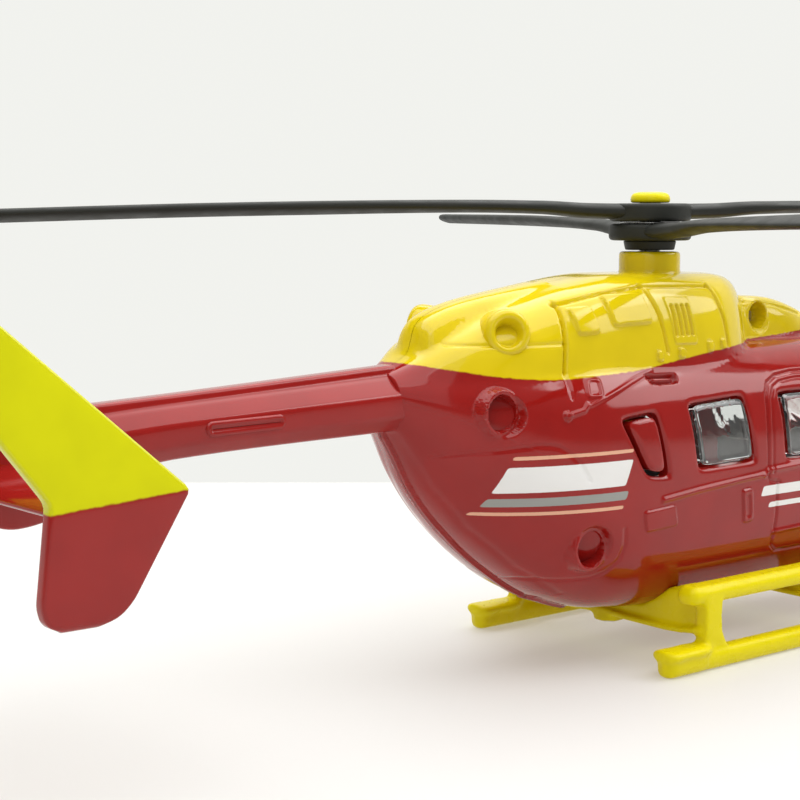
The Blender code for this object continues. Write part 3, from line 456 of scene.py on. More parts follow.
def detail_distance(points):
    """Distance to the nearest detail, for the mesh's density."""
    x, _, z = points.T
    found = [np.abs(open_distance(points))]
    found += [line_distance(line, x, z) - 0.3 for line, _, _ in LINES + COWL_LINES]
    found += [np.abs(outline_distance(corners, x, z, PAD_SOFTNESS)) for corners, _, _ in PADS]
    found += [np.abs(np.hypot(x - a, z - b) - r * 0.7) - r * 0.4 for a, b, r in WELLS]
    found.append(np.where((x < TAB_END) & (z < 38), np.abs(-points[:, 1] - KEEL_HALF_WIDTH), 9))
    found.append(np.hypot(x - KNOB[0], z - KNOB[1]) - KNOB[2])
    found.append(outline_distance(LOUVRE_PANEL, x, z, PAD_SOFTNESS))
    bars = [bar_corners(*bar) for group in PRINTS.values() for bar in group]
    found += [np.abs(outline_distance(corners, x, z, PAD_SOFTNESS)) for corners in bars]
    return np.maximum(np.min(found, axis=0), 0)


def sink_wells(points):
    """Screw wells: a flat rim that stands out of the skin, and a deep stepped hole with a stub in it."""
    x, y, z = points.T
    y = y.copy()
    for a, b, radius in WELLS:
        level = -skin_y(a, b) - WELL_RIM_DROP
        for share, depth, ahead, up, edge in WELL_STEPS:
            level = level + depth * smooth_step((radius * share - np.hypot(x - a - ahead, z - b - up)) / edge)
        inside = smooth_step((radius - np.hypot(x - a, z - b)) / WELL_EDGE)
        y = y * (1 - inside) + level * inside
    return np.column_stack([x, y, z])


def keel_relief(points):
    """A lip along the seam under the tail, and the flat tab where it ends."""
    x, y, z = points.T
    lower = smooth_step((37 - z) / 1.5)
    lip = KEEL_HEIGHT * smooth_step((KEEL_HALF_WIDTH + y) / 0.3) * smooth_step((KEEL_END - x) / 1.2)
    tab = smooth_step((TAB_HALF_WIDTH + y) / 0.3) * smooth_step((x - KEEL_END) / 0.4)
    return lower * (lip + TAB_HEIGHT * tab * smooth_step((TAB_END - x) / 0.4))


def relief(points):
    """How far the skin is raised at each point."""
    x, _, z = points.T
    height = np.zeros(len(x))
    for line, width, rise in LINES + COWL_LINES:
        height += rise * np.exp(-((line_distance(line, x, z) / width) ** 2))
    for corners, rise, edge in PADS:
        height += rise * smooth_step(0.5 - outline_distance(corners, x, z, PAD_SOFTNESS) / edge)
    height += louvre_relief(x, z) + keel_relief(points)
    a, b, radius, rise = KNOB
    height += rise * smooth_step((radius - np.hypot(x - a, z - b)) / radius * 1.6)
    edge = open_distance(points)
    rounding = np.clip(1 - edge / EDGE_ROUNDING, 0, 1)
    return height - EDGE_DROP * (1 - np.sqrt(1 - np.minimum(rounding, 0.98) ** 2))


def louvre_relief(x, z):
    inside = smooth_step((z - LOUVRE_HEIGHTS[0]) / 0.3) * smooth_step((LOUVRE_HEIGHTS[1] - z) / 0.3)
    height = np.zeros(len(x))
    for i in range(LOUVRES):
        station = LOUVRE_SPAN[0] + (LOUVRE_SPAN[1] - LOUVRE_SPAN[0]) * i / (LOUVRES - 1)
        height -= LOUVRE_DEPTH * np.exp(-(((x - station) / LOUVRE_HALF_WIDTH) ** 2))
    return height * inside


def exhaust():
    """A short pipe with a round rim and a dished end."""
    aim = Vector(EXHAUST_AIM).to_track_quat("Z", "Y").to_matrix().to_4x4()
    pipe = lathe(rounded_profile(EXHAUST_PROFILE, 0.25, 3), 64)
    return placed(pipe, Matrix.Translation(EXHAUST_PLACE) @ aim)


def refined(points, tris, position, wanted):
    """Every edge longer than wanted at its middle is split once, and the triangles with it."""
    edges = np.sort(np.stack([tris, np.roll(tris, -1, axis=1)], axis=2), axis=2)
    unique, index = np.unique(edges.reshape(-1, 2), axis=0, return_inverse=True)
    spots = position(points)
    length = np.linalg.norm(spots[unique[:, 0]] - spots[unique[:, 1]], axis=1)
    middle = points[unique].mean(axis=1)
    split = length > wanted(position(middle))
    number = np.full(len(unique), -1)
    number[split] = len(points) + np.arange(split.sum())
    points = np.vstack([points, middle[split]])
    mids = number[index.reshape(-1, 3)]
    count = (mids >= 0).sum(axis=1)
    made = [tris[count == 0]]
    whole, m = tris[count == 3], mids[count == 3]
    made += [np.column_stack(c) for c in ((whole[:, 0], m[:, 0], m[:, 2]), (m[:, 0], whole[:, 1], m[:, 1]),
                                          (m[:, 2], m[:, 1], whole[:, 2]), (m[:, 0], m[:, 1], m[:, 2]))]
    for k in range(3):
        a, b, c = k, (k + 1) % 3, (k + 2) % 3
        pick = (count == 1) & (mids[:, a] >= 0)
        t, m = tris[pick], mids[pick]
        made += [np.column_stack([t[:, a], m[:, a], t[:, c]]), np.column_stack([m[:, a], t[:, b], t[:, c]])]
        pick = (count == 2) & (mids[:, a] < 0)
        t, m = tris[pick], mids[pick]
        made += [np.column_stack([t[:, c], m[:, c], m[:, b]]), np.column_stack([t[:, a], t[:, b], m[:, b]]),
                 np.column_stack([t[:, a], m[:, b], m[:, c]])]
    return points, np.vstack(made)


def clipped(points, tris, distance):
    """The part of a surface where distance is positive, cut along the line where it is zero."""
    d = np.where(np.abs(distance) < 1e-3, 0, distance)
    sign = d[tris] < 0
    count = sign.sum(axis=1)
    crossing = tris[(count > 0) & (count < 3)]
    ends = np.sort(np.stack([crossing, np.roll(crossing, -1, axis=1)], axis=2), axis=2).reshape(-1, 2)
    ends = np.unique(ends[(d[ends[:, 0]] < 0) != (d[ends[:, 1]] < 0)], axis=0)
    share = d[ends[:, 0]] / (d[ends[:, 0]] - d[ends[:, 1]])
    cut = points[ends[:, 0]] + share[:, None] * (points[ends[:, 1]] - points[ends[:, 0]])
    number = {tuple(pair): len(points) + i for i, pair in enumerate(ends.tolist())}
    made = tris[count == 0].tolist()
    for tri, below in zip(tris[(count > 0) & (count < 3)].tolist(), sign[(count > 0) & (count < 3)].tolist()):
        ring = []
        for a, b, low, next_low in zip(tri, tri[1:] + tri[:1], below, below[1:] + below[:1]):
            if not low:
                ring.append(a)
            if low != next_low:
                ring.append(number[(min(a, b), max(a, b))])
        made += [[ring[0], ring[i], ring[i + 1]] for i in range(1, len(ring) - 1)]
    used, index = np.unique(np.array(made), return_inverse=True)
    return np.vstack([points, cut])[used], index.reshape(-1, 3)


def grid(us, vs):
    """Triangles over a grid, and its (u, v) points."""
    points = np.array([(u, v) for u in us for v in vs])
    n = len(vs)
    corner = (np.arange(len(us) - 1)[:, None] * n + np.arange(n - 1)).ravel()
    first = np.column_stack([corner, corner + n, corner + n + 1])
    return points, np.vstack([first, np.column_stack([corner, corner + n + 1, corner + 1])])


def raised(domain, height_of):
    """The skin's points, moved along its normal by height_of them."""
    x, angle = domain.T
    base = pod_point(x, angle)
    step = 0.02
    along = pod_point(x + step, angle) - pod_point(x - step, angle)
    rear, front = POD_SPAN
    edge = (x < rear + step) | (x > front - step)
    inner = np.clip(x, rear + step, front - step)
    along[edge] = (pod_point(inner + step, angle) - pod_point(inner - step, angle))[edge]
    after, before = (np.clip(angle + turn, 0, math.pi) for turn in (0.002, -0.002))
    normal = np.cross(pod_point(x, after) - pod_point(x, before), along)
    normal /= np.maximum(np.linalg.norm(normal, axis=1), 1e-9)[:, None]
    return base + normal * height_of(base)[:, None]


def pod_skin():
    """The right half's outer skin with its relief and openings, and the openings' walls."""
    points, tris = grid(np.linspace(*POD_SPAN, POD_GRID[0]), np.linspace(0, math.pi, POD_GRID[1]))

    def position(domain):
        return pod_point(*domain.T)

    def wanted(places):
        fine = outline_distance(LOUVRE_PANEL, places[:, 0], places[:, 2]) < 0.3
        smallest = np.where(fine, LOUVRE_EDGE, DETAIL_EDGE)
        return np.clip(EDGE_GROWTH * detail_distance(places), smallest, PLAIN_EDGE)

    for _ in range(REFINING_PASSES):
        points, tris = refined(points, tris, position, wanted)
    points, tris = clipped(points, tris, open_distance(position(points)))
    skin = sink_wells(raised(points, relief))
    skin[:, 1] = np.minimum(skin[:, 1], -SEAM_GAP)
    near = np.abs(open_distance(position(points))) < 0.02
    ends = [end_cap(POD_SPAN[1], 0.5), end_cap(POD_SPAN[0], -0.4)]
    return [(skin, tris), walls(skin, tris, near, WALL_DEPTH), *ends]


def walls(points, tris, near, depth):
    """Walls that run inwards from the boundary edges whose two ends are near an outline."""
    directed = np.vstack([tris[:, [0, 1]], tris[:, [1, 2]], tris[:, [2, 0]]])
    _, first, count = np.unique(np.sort(directed, axis=1), axis=0, return_index=True, return_counts=True)
    border = directed[first[count == 1]]
    border = border[near[border].all(axis=1)]
    a, b = points[border[:, 0]], points[border[:, 1]]
    inwards = np.array([0, depth, 0])
    n = len(border)
    at = np.arange(n)
    made = np.vstack([a, b, b + inwards, a + inwards])
    first = np.column_stack([at + n, at, at + 2 * n])
    second = np.column_stack([at, at + 3 * n, at + 2 * n])
    return welded(made, np.vstack([first, second]))


def welded(points, tris):
    _, first, index = np.unique(np.round(points, 4), axis=0, return_index=True, return_inverse=True)
    return points[first], index.reshape(-1)[tris]


def end_cap(station, bulge):
    """A small round end of the pod."""
    turns = np.linspace(0, math.pi, 44)
    edge = pod_point(np.full(44, float(station)), turns)
    centre = np.array([station, 0, float(through(POD_WIDEST, station))])
    rings = []
    for share in np.linspace(0, math.pi / 2, 8):
        ring = centre + (edge - centre) * max(math.cos(share), 0.01)
        ring[:, 0] = station + bulge * math.sin(share)
        rings.append(ring)
    points, tris = sheet_of(rings)
    return points, tris if bulge > 0 else tris[:, ::-1]


def liner():
    """The casting's plain inside face, seen through the windows."""
    points, tris = grid(np.linspace(*LINER_SPAN, 90), np.linspace(0, math.pi, 48))
    distance = open_distance(pod_point(*points.T))
    points, tris = clipped(points, tris, distance - 0.05)
    return pod_point(*points.T, inset=LINER_INSET, roof=(COWL,)), tris[:, ::-1]


# ---- Simple surfaces ----


def sheet_of(rings, closed=False):
    """Triangles through rings of equal length; the rings themselves are closed if asked."""
    rows = np.array(rings, float)
    count, n = rows.shape[:2]
    last = n if closed else n - 1
    j = np.arange(last)
    after = (j + 1) % n
    made = []
    for i in range(count - 1):
        a, b, c, d = i * n + j, i * n + after, (i + 1) * n + after, (i + 1) * n + j
        made += [np.column_stack([a, b, c]), np.column_stack([a, c, d])]
    return rows.reshape(-1, 3), np.vstack(made)


def loft(rings):
    """Closed body through closed rings, its two ends filled from their middles."""
    points, tris = sheet_of(rings, closed=True)
    n = len(rings[0])
    ends = np.array([np.mean(rings[0], axis=0), np.mean(rings[-1], axis=0)])
    at = len(points)
    j = np.arange(n)
    after = (j + 1) % n
    first = np.column_stack([np.full(n, at), after, j])
    last = np.column_stack([np.full(n, at + 1), at - n + j, at - n + after])
    return np.vstack([points, ends]), np.vstack([tris, first, last])


def lathe(profile, segments=72, start=0.0, sweep=2 * math.pi):
    """Surface of revolution about Z from (radius, height) points."""
    whole = sweep > 6.28
    turns = start + sweep * np.arange(segments + (0 if whole else 1)) / segments
    across, along = np.cos(turns), np.sin(turns)
    rings = [np.column_stack([r * across, r * along, np.full(len(turns), z)]) for r, z in profile]
    return sheet_of(rings, closed=whole)


def turned_ring(corners, radius, steps, segments=72):
    """A turned ring: its profile's inner corners are rounded, and its bore closed."""
    return lathe([*rounded_profile(corners, radius, steps), corners[0]], segments)


def rounded_profile(corners, radius, steps):
    """The corners of a profile with an arc in place of each inner one."""
    made = [corners[0]]
    for before, corner, after in zip(corners, corners[1:], corners[2:]):
        corner = Vector(corner)
        to_before, to_after = Vector(before) - corner, Vector(after) - corner
        reach = min(radius, to_before.length * 0.49, to_after.length * 0.49)
        start = corner + to_before.normalized() * reach
        end = corner + to_after.normalized() * reach
        for i in range(steps + 1):
            t = i / steps
            made.append(tuple(start.lerp(corner, t).lerp(corner.lerp(end, t), t)))
    made.append(corners[-1])
    return made


def placed(surface, matrix):
    points, tris = surface
    turn = np.array(matrix)
    return points @ turn[:3, :3].T + turn[:3, 3], tris


def mirrored(surface):
    points, tris = surface
    return points * (1, -1, 1), tris[:, ::-1]


def on_side(side, surfaces, finish):
    """The right half's surfaces with their finish, mirrored for the left half."""
    return [(surface if side < 0 else mirrored(surface), finish) for surface in surfaces]


def about(station, height):
    """A turned shape's Z axis laid across the model, pointing to port, at a place in side view."""
    return Matrix.Translation((station, 0, height)) @ Matrix.Rotation(-math.pi / 2, 4, "X")


# ---- Pieces ----


def piece(name, groups, body, nodes):
    """One visual piece from (surface, material) groups, on its CAD body and in place of its CAD nodes."""
    points, faces, indices, materials = [], [], [], []
    start = 0
    for (vertices, tris), finish in groups:
        points.append(vertices)
        faces.append(tris + start)
        start += len(vertices)
        if finish not in materials:
            materials.append(finish)
        indices += [materials.index(finish)] * len(tris)
    points = np.vstack(points)
    mesh = bpy.data.meshes.new(name)
    mesh.from_pydata(((points + (MAST_X, 0, 0)) * MM).tolist(), [], np.vstack(faces).tolist())
    mesh.validate()
    for finish in materials:
        mesh.materials.append(finish)
    if len(indices) == len(mesh.polygons):
        mesh.polygons.foreach_set("material_index", indices)
    paint_masks(mesh, points)
    mesh.shade_smooth()
    mesh.set_sharp_from_angle(angle=math.radians(50))
    made = bpy.data.objects.new(name, mesh)
    bpy.context.scene.collection.objects.link(made)
    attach(made, body)
    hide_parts(*nodes)
    return made


def bar_corners(station, height, length, depth):
    """A printed bar's slanting corners, from its top rear one."""
    lean = depth * PRINT_SLANT
    front = station + length
    low = height - depth
    return ((station, height), (front, height), (front - lean, low), (station - lean, low))


def paint_masks(mesh, points):
    """Distances in millimetres to the paint lines, kept on the mesh for the paint's shader."""
    x, y, z = points.T
    line = through(PAINT_LINE, x)
    fin = np.where((x < FIN_PAINT[0]) & (z > FIN_PAINT[1]), z - FIN_PAINT[1], FAR_BELOW)
    pod = np.where(x > POD_PAINT_SPAN[1], FAR_BELOW, z - line)
    above = np.where(x < POD_PAINT_SPAN[0], fin, pod)
    crease = crease_height(x)
    inner_face = STAB_HALF_SPAN - math.tan(PLATE_CANT) * np.maximum(z - crease, 0)
    on_plate = np.abs(y) > inner_face - 0.3
    above = np.where((x < PLATES_START) & on_plate, z - crease, above)
    masks = {"yellow_above": above}
    for name, bars in PRINTS.items():
        inside = np.full(len(x), FAR_BELOW)
        for bar in bars:
            inside = np.maximum(inside, -outline_distance(bar_corners(*bar), x, z, PRINT_SOFTNESS))
        masks[name] = inside
    for name, values in masks.items():
        layer = mesh.attributes.new(name, "FLOAT", "POINT")
        layer.data.foreach_set("value", np.asarray(values, np.float32))


def castings(paint, zinc, dark):
    """Both half castings: pod, boom, fin and mast collar."""
    skin = pod_skin()
    inside = liner()
    tail = [boom(), boom_slot(), fin(), collar(), exhaust()]
    for side, hand in SIDES:
        shell = (f"body_shell_{hand}",)
        groups = on_side(side, skin, paint) + on_side(side, [inside], zinc)
        piece(f"pod_{hand}", groups, "root", shell)
        groups = on_side(side, tail, paint)
        if side > 0:
            groups.append((gearbox(), dark))
        piece(f"tail_boom_{hand}", groups, "root", shell)


def boom_section(x, top, bottom, width):
    """Half of the boom's section: a narrow spine, a shoulder, an edge, an upright side and a soft keel."""
    spine = min(1.5, width * 0.5)
    height = top - bottom
    corners = (
        (SEAM_GAP, top), (spine, top), (spine + 0.25, top - 0.14 * height),
        (spine + 0.9, top - 0.19 * height), (width, top - 0.42 * height), (width, bottom + 0.24 * height),
        (width * 0.62, bottom), (SEAM_GAP, bottom),
    )
    profile = rounded_profile(corners, 0.55 * min(1, width / 3), 4)
    return [(x, -y, z) for y, z in profile]


def boom():
    stations = np.concatenate([np.linspace(-52, -96, 12), np.linspace(-97, -116.6, 36), [-117]])
    rows = [[(section[0], section[i]) for section in BOOM] for i in (1, 2, 3)]
    rings = []
    for x in stations:
        top, bottom, width = (float(through(row, x)) for row in rows)
        rings.append(boom_section(x, top, bottom, width))
    points, tris = sheet_of(rings)
    return points, tris[:, ::-1]


def boom_slot():
    """A raised oblong with a sunk middle on the boom's side."""
    x, z, half_length, half_height = BOOM_SLOT
    reach = half_length - half_height
    rings = []
    for grow, out in SLOT_RINGS:
        across = half_height * grow
        ring = []
        for i in range(48):
            turn = 2 * math.pi * i / 48
            u = math.copysign(reach, math.cos(turn)) + across * math.cos(turn)
            v = across * math.sin(turn)
            width = float(through(SLOT_WIDTHS, x + u))
            ring.append((x + u, -width - out, z + v + u * 0.02))
        rings.append(ring)
    points, tris = sheet_of(rings, closed=True)
    return points, tris[:, ::-1]


def fin():
    """Swept fin with a round leading edge."""
    rings = []
    shares = np.concatenate([np.linspace(0, FIN_TIP_START, 16), [0.985, 0.996, 1]])
    for share in shares:
        front = Vector(FIN_ROOT[0]).lerp(Vector(FIN_TIP[0]), share)
        back = Vector(FIN_ROOT[1]).lerp(Vector(FIN_TIP[1]), share)
        thickness = FIN_HALF_THICKNESS[0] + (FIN_HALF_THICKNESS[1] - FIN_HALF_THICKNESS[0]) * share
        close = math.sqrt(max(1 - max(share - FIN_TIP_START, 0) / (1 - FIN_TIP_START), 0.0009))
        ring = []
        for along in (1 - np.cos(np.linspace(0, math.pi, 28))) / 2:
            x, z = front.lerp(back, along)
            y = thickness * close * FIN_FULLNESS * math.sqrt(along) * (1 - along) ** 0.45
            ring.append((x, -max(y, SEAM_GAP), z))
        rings.append(ring)
    return sheet_of(rings)


def collar():
    """Half of the raised ring round the mast, with a round top edge and a foot."""
    return lathe([(1.9, 58.5), *rounded_profile(COLLAR, 0.7, 6)], 48, math.pi, math.pi)


def gearbox():
    """The tail rotor's gearbox boss on the left side of the fin."""
    x, z, radius, face = GEARBOX
    profile = rounded_profile(((radius, 0.4), (radius, face), (1, face)), 0.6, 5)
    return placed(lathe(profile, 40), about(x, z))


def pane_of(corners, gap, out, depth=PANE_DEPTH):
    """A window's own block of clear plastic: a soft-edged outer face, walls and a flat back."""
    low = np.min(corners, axis=0) - 1
    high = np.max(corners, axis=0) + 1
    points, tris = grid(np.linspace(low[0], high[0], 60), np.linspace(low[1], high[1], 50))
    distance = -outline_distance(corners, *points.T) - gap
    points, tris = clipped(points, tris, distance)
    x, z = points.T
    distance = -outline_distance(corners, x, z) - gap
    y = half_breadths(x, z)
    rounding = np.clip(1 - distance / 0.8, 0, 0.98)
    front = np.column_stack([x, -(y + out - 0.4 * (1 - np.sqrt(1 - rounding**2))), z])
    back = np.column_stack([x, -(y - depth), z])
    wall_points, wall = walls(front, tris, distance < 0.02, depth)
    behind = wall_points[:, 1] > -half_breadths(wall_points[:, 0], wall_points[:, 2]) + depth * 0.5
    wall_points[behind, 1] = -half_breadths(*wall_points[behind][:, [0, 2]].T) + depth
    outer = (front, tris) if outward(front, tris) else (front, tris[:, ::-1])
    inner = (back, outer[1][:, ::-1])
    return outer, inner, (wall_points, wall)


def outward(points, tris):
    a, b, c = points[tris[0]]
    return np.cross(b - a, c - a)[1] < 0


def half_breadths(x, z):
    """The skin's half breadth at many points in side view."""
    last = BREADTH_SAMPLES - 1
    stations = np.linspace(x.min(), x.max(), BREADTH_SAMPLES)
    heights = np.linspace(z.min(), z.max(), BREADTH_SAMPLES)
    table = np.array([[skin_y(s, h) for h in heights] for s in stations])
    u = (x - stations[0]) / (stations[-1] - stations[0]) * last
    v = (z - heights[0]) / (heights[-1] - heights[0]) * last
    i = np.clip(u.astype(int), 0, last - 1)
    j = np.clip(v.astype(int), 0, last - 1)
    fu, fv = u - i, v - j
    low = table[i, j] * (1 - fu) + table[i + 1, j] * fu
    high = table[i, j + 1] * (1 - fu) + table[i + 1, j + 1] * fu
    return low * (1 - fv) + high * fv


def windows(paint, clear):
    """Side panes, the blank plug behind them and the windscreen, on each side."""
    panes = [surface for corners in SIDE_WINDOWS for surface in pane_of(corners, 0.55, 0.05)]
    plug = pane_of(PLUG_WINDOW, 0.75, 0.1)
    kinds = (
        ("side_panes", panes, clear, "glazing", "glazing"),
        ("plug_panel", plug, paint, "window_plug", "body_paint"),
        ("front_pane", front_pane(), clear, "windscreen", "glazing"),
    )
    for side, hand in SIDES:
        for name, surfaces, finish, node, slot in kinds:
            piece(f"{name}_{hand}", on_side(side, surfaces, finish), "root", (f"{node}_{hand}",))


def front_pane():
    """One pane of the windscreen, a clear layer that follows the skin."""
    points, tris = grid(np.linspace(*SCREEN_SPAN, 60), np.linspace(*SCREEN_TURN, 60))
    outer = pod_point(*points.T)
    inside = outline_distance(WINDSCREEN, outer[:, 0], outer[:, 2])
    distance = -np.maximum(inside, CENTRE_POST_HALF_WIDTH + outer[:, 1]) - 0.25
    points, tris = clipped(points, tris, distance)
    return (pod_point(*points.T), tris), (pod_point(*points.T, inset=SCREEN_THICKNESS), tris[:, ::-1])


def tailplane(paint):
    """Tailplane bar with its two end plates."""
    front, back = (Vector(edge) for edge in STAB_EDGES)
    rings = []
    for y in np.linspace(-STAB_HALF_SPAN - 0.6, STAB_HALF_SPAN + 0.6, 30):
        ring = []
        for i in range(40):
            turn = 2 * math.pi * i / 40
            along = (1 - math.cos(turn)) / 2
            x, z = front.lerp(back, along)
            thickness = STAB_FULLNESS * math.sqrt(along * (1 - along))
            ring.append((x, y, z + math.copysign(thickness, math.sin(turn))))
        rings.append(ring)
    groups = [(loft(rings), paint)]
    for side, _ in SIDES:
        groups += on_side(side, [end_plate()], paint)
    piece("tailplane", groups, "root", ("stabiliser",))


def end_plate():
    """Right end plate: soft-edged, upright below its fold and leaning inboard above it."""
    quarter = np.linspace(0, math.pi / 2, 10)
    low, high = PLATE_FRONT[0][0], PLATE_FRONT[-1][0]
    heights = np.concatenate([low + PLATE_ENDS * (1 - np.cos(quarter)), np.linspace(low + 2, high - 1.8, 64),
                              high - PLATE_ENDS * (1 - np.sin(quarter))])
    half = PLATE_THICKNESS / 2
    rings = []
    for z in heights:
        near_end = min(z - heights[0], heights[-1] - z)
        close = math.sqrt(max(1 - max(1 - near_end / PLATE_END_ROUNDING, 0) ** 2, 0.0004))
        front, back = (edge_line(edge, z) for edge in (PLATE_FRONT, PLATE_BACK))
        ring = []
        for i in range(56):
            turn = 2 * math.pi * i / 56
            across = math.copysign(abs(math.sin(turn)) ** 0.5, math.sin(turn)) * half * close
            along = math.cos(turn)
            reach = (front - back) / 2 - half * (1 - abs(along) ** 0.5)
            x = (front + back) / 2 + math.copysign(reach, along) * min(abs(along) * 6, 1)
            ring.append(plate_point(x, z, across))
        rings.append(ring)
    return loft(rings)


def edge_line(edge, z):
    """A straight-sided edge's station at a height, with its corners a little rounded."""
    heights, stations = zip(*edge)
    return float(np.mean(np.interp(z + np.linspace(-PLATE_CORNER, PLATE_CORNER, 9), heights, stations)))


def crease_height(x):
    """Height of the end plates' fold at a station."""
    front, back = PLATE_CREASE
    return front[1] + (back[1] - front[1]) * (x - front[0]) / (back[0] - front[0])


def plate_point(x, z, across):
    over = z - crease_height(x)
    lean = math.tan(PLATE_CANT) * (over + math.sqrt(over**2 + FOLD_SOFTNESS**2)) / 2
    return (x, -(STAB_HALF_SPAN + PLATE_THICKNESS / 2 - lean) + across, z)


def bar_ring(x, y, z, half_width, half_height, power=3.2):
    turns = 2 * math.pi * (np.arange(BAR_SIDES) + 0.5) / BAR_SIDES
    radius = superellipse(turns, half_width, half_height, power)
    return np.column_stack([np.full(BAR_SIDES, x), y + radius * np.sin(turns), z + radius * np.cos(turns)])


def box(x, y, z):
    """A box from its low and high values on each axis."""
    rings = [[(a, y[0], z[0]), (a, y[1], z[0]), (a, y[1], z[1]), (a, y[0], z[1])] for a in x]
    return loft(rings)


def skid_side(side):
    """One skid tube with its foot, legs and boarding step."""
    y = side * SKID_HALF_TRACK
    shapes = [loft([bar_ring(x, y, z, half_width * share, half_height, 3) for x, share in shares])
              for z, half_width, half_height, shares in FOOT_BARS]
    shapes.append(placed(box(*FOOT_SPUR), Matrix.Translation((0, y, 0))))
    shapes.append(loft([bar_ring(x, y, z, *TUBE_HALF_SIZE) for x, z in SKID_PATH]))
    for x in CROSS_STATIONS:
        inside, outside = y - LEG_HALF_THICKNESS, y + LEG_HALF_THICKNESS
        shapes.append(loft([[(x - b, inside, z), (x + f, inside, z), (x + f, outside, z), (x - b, outside, z)]
                            for z, b, f in LEG_ROWS]))
    shapes.append(step_board(side))
    return shapes


def step_board(side):
    """Boarding step: a flat top with sloping sides and round ends."""
    middle = side * sum(STEP_Y) / 2
    half = (STEP_Y[1] - STEP_Y[0]) / 2
    middle_station = sum(STEP_SPAN) / 2
    reach = (STEP_SPAN[1] - STEP_SPAN[0]) / 2 - STEP_END
    rings = []
    for z, inset in ((STEP_Z[0], 0.5), (STEP_Z[0] + 0.7, 0), (STEP_Z[1] - 0.9, 0), (STEP_Z[1], 0.7)):
        ring = []
        for i in range(32):
            turn = 2 * math.pi * (i + 0.5) / 32
            x = middle_station + math.copysign(reach, math.cos(turn)) + (STEP_END - inset) * math.cos(turn)
            across = (half - inset) * np.sign(math.sin(turn)) * abs(math.sin(turn)) ** 0.6
            ring.append((x, middle + across, z))
        rings.append(ring)
    return loft(rings)


def cross_member(x):
    """Arched web with a thin flange along its lower edge."""
    rows = [(-y, low, high) for y, low, high in WEB_ROWS[:0:-1]] + list(WEB_ROWS)
    shapes = [placed(lathe(SCREW_BOSS, 32), Matrix.Translation((x, 0, 0)))]
    for half, rise in ((WEB_HALF_THICKNESS, None), (FLANGE_HALF_WIDTH, FLANGE_THICKNESS)):
        rings = []
        for y, low, high in rows:
            top = high if rise is None else low + rise
            rings.append([(x - half, y, low), (x + half, y, low), (x + half, y, top), (x - half, y, top)])
        shapes.append(loft(rings))
    return shapes


def undercarriage(yellow):
    """One plastic moulding, its shapes melted together by a voxel remesh."""
    shapes = skid_side(-1) + skid_side(1)
    for x in CROSS_STATIONS:
        shapes += cross_member(x)
    made = piece("undercarriage", [(s, yellow) for s in shapes], "root", ("skid_gear",))
    remesh(made)


def remesh(made):
    modifier = made.modifiers.new("melt", "REMESH")
    modifier.mode = "VOXEL"
    modifier.voxel_size = VOXEL * MM
    modifier.use_smooth_shade = True
    smooth = made.modifiers.new("soften", "SMOOTH")
    smooth.factor = 0.5
    smooth.iterations = SMOOTHING_PASSES


def blade(azimuth, root_z, path):
    """One rotor blade: a round leading edge, a thin trailing edge and a stiffening ridge at its root."""
    rings = []
    root, tip = BLADE_REACH
    stations = np.concatenate([np.linspace(root, BLADE_RIDGE_END, 40),
                               np.linspace(BLADE_RIDGE_END + 1, BLADE_TIP_START, 60),
                               np.linspace(BLADE_TIP_START + 0.4, tip, 12)])
    for r in stations:
        z = root_z + float(through(path, r))
        chord = float(through(BLADE_CHORD, r))
        thickness = float(through(BLADE_HALF_THICKNESS, r))
        pitch = BLADE_PITCH * along_span(r, PITCH_SPAN)
        thinned = along_span(r, THINNING_SPAN)
        ring = []
        for i in range(40):
            turn = 2 * math.pi * i / 40
            across = math.cos(turn) * chord / 2
            lift = math.copysign(abs(math.sin(turn)) ** 0.75, math.sin(turn)) * thickness
            lift *= 1 - EDGE_THINNING * max(-math.cos(turn), 0) * thinned
            ring.append((r, across - pitch * lift, z + lift + pitch * across))
        rings.append(ring)
    return placed(loft(rings), Matrix.Rotation(azimuth, 4, "Z"))


def hub(low, high):
    bore, radius = HUB_BORE, HUB_RADIUS
    corners = ((bore, low), (radius, low), (radius, high), (radius * 0.62, high), (bore, high))
    return turned_ring(corners, 0.75, 5, 96)


def bolts(height, turn):
    """Four small moulded bolt heads on the hub."""
    corners = ((BOLT_RADIUS, height - 0.3), (BOLT_RADIUS, height + 0.1), (0.01, height + 0.14))
    head = lathe(rounded_profile(corners, 0.2, 3), 24)
    made = []
    for i in range(4):
        angle = turn + math.pi / 4 + i * math.pi / 2
        at = Matrix.Translation((BOLT_CIRCLE * math.cos(angle), BOLT_CIRCLE * math.sin(angle), 0))
        made.append(placed(head, at))
    return made


def blade_strip(hub_z, azimuth, path):
    """A hub with a blade on each side of it."""
    low, high = hub_z
    root = (low + high) / 2 + BLADE_HEIGHT
    return [hub(low, high), *(blade(azimuth + turn, root, path) for turn in (0, math.pi))]


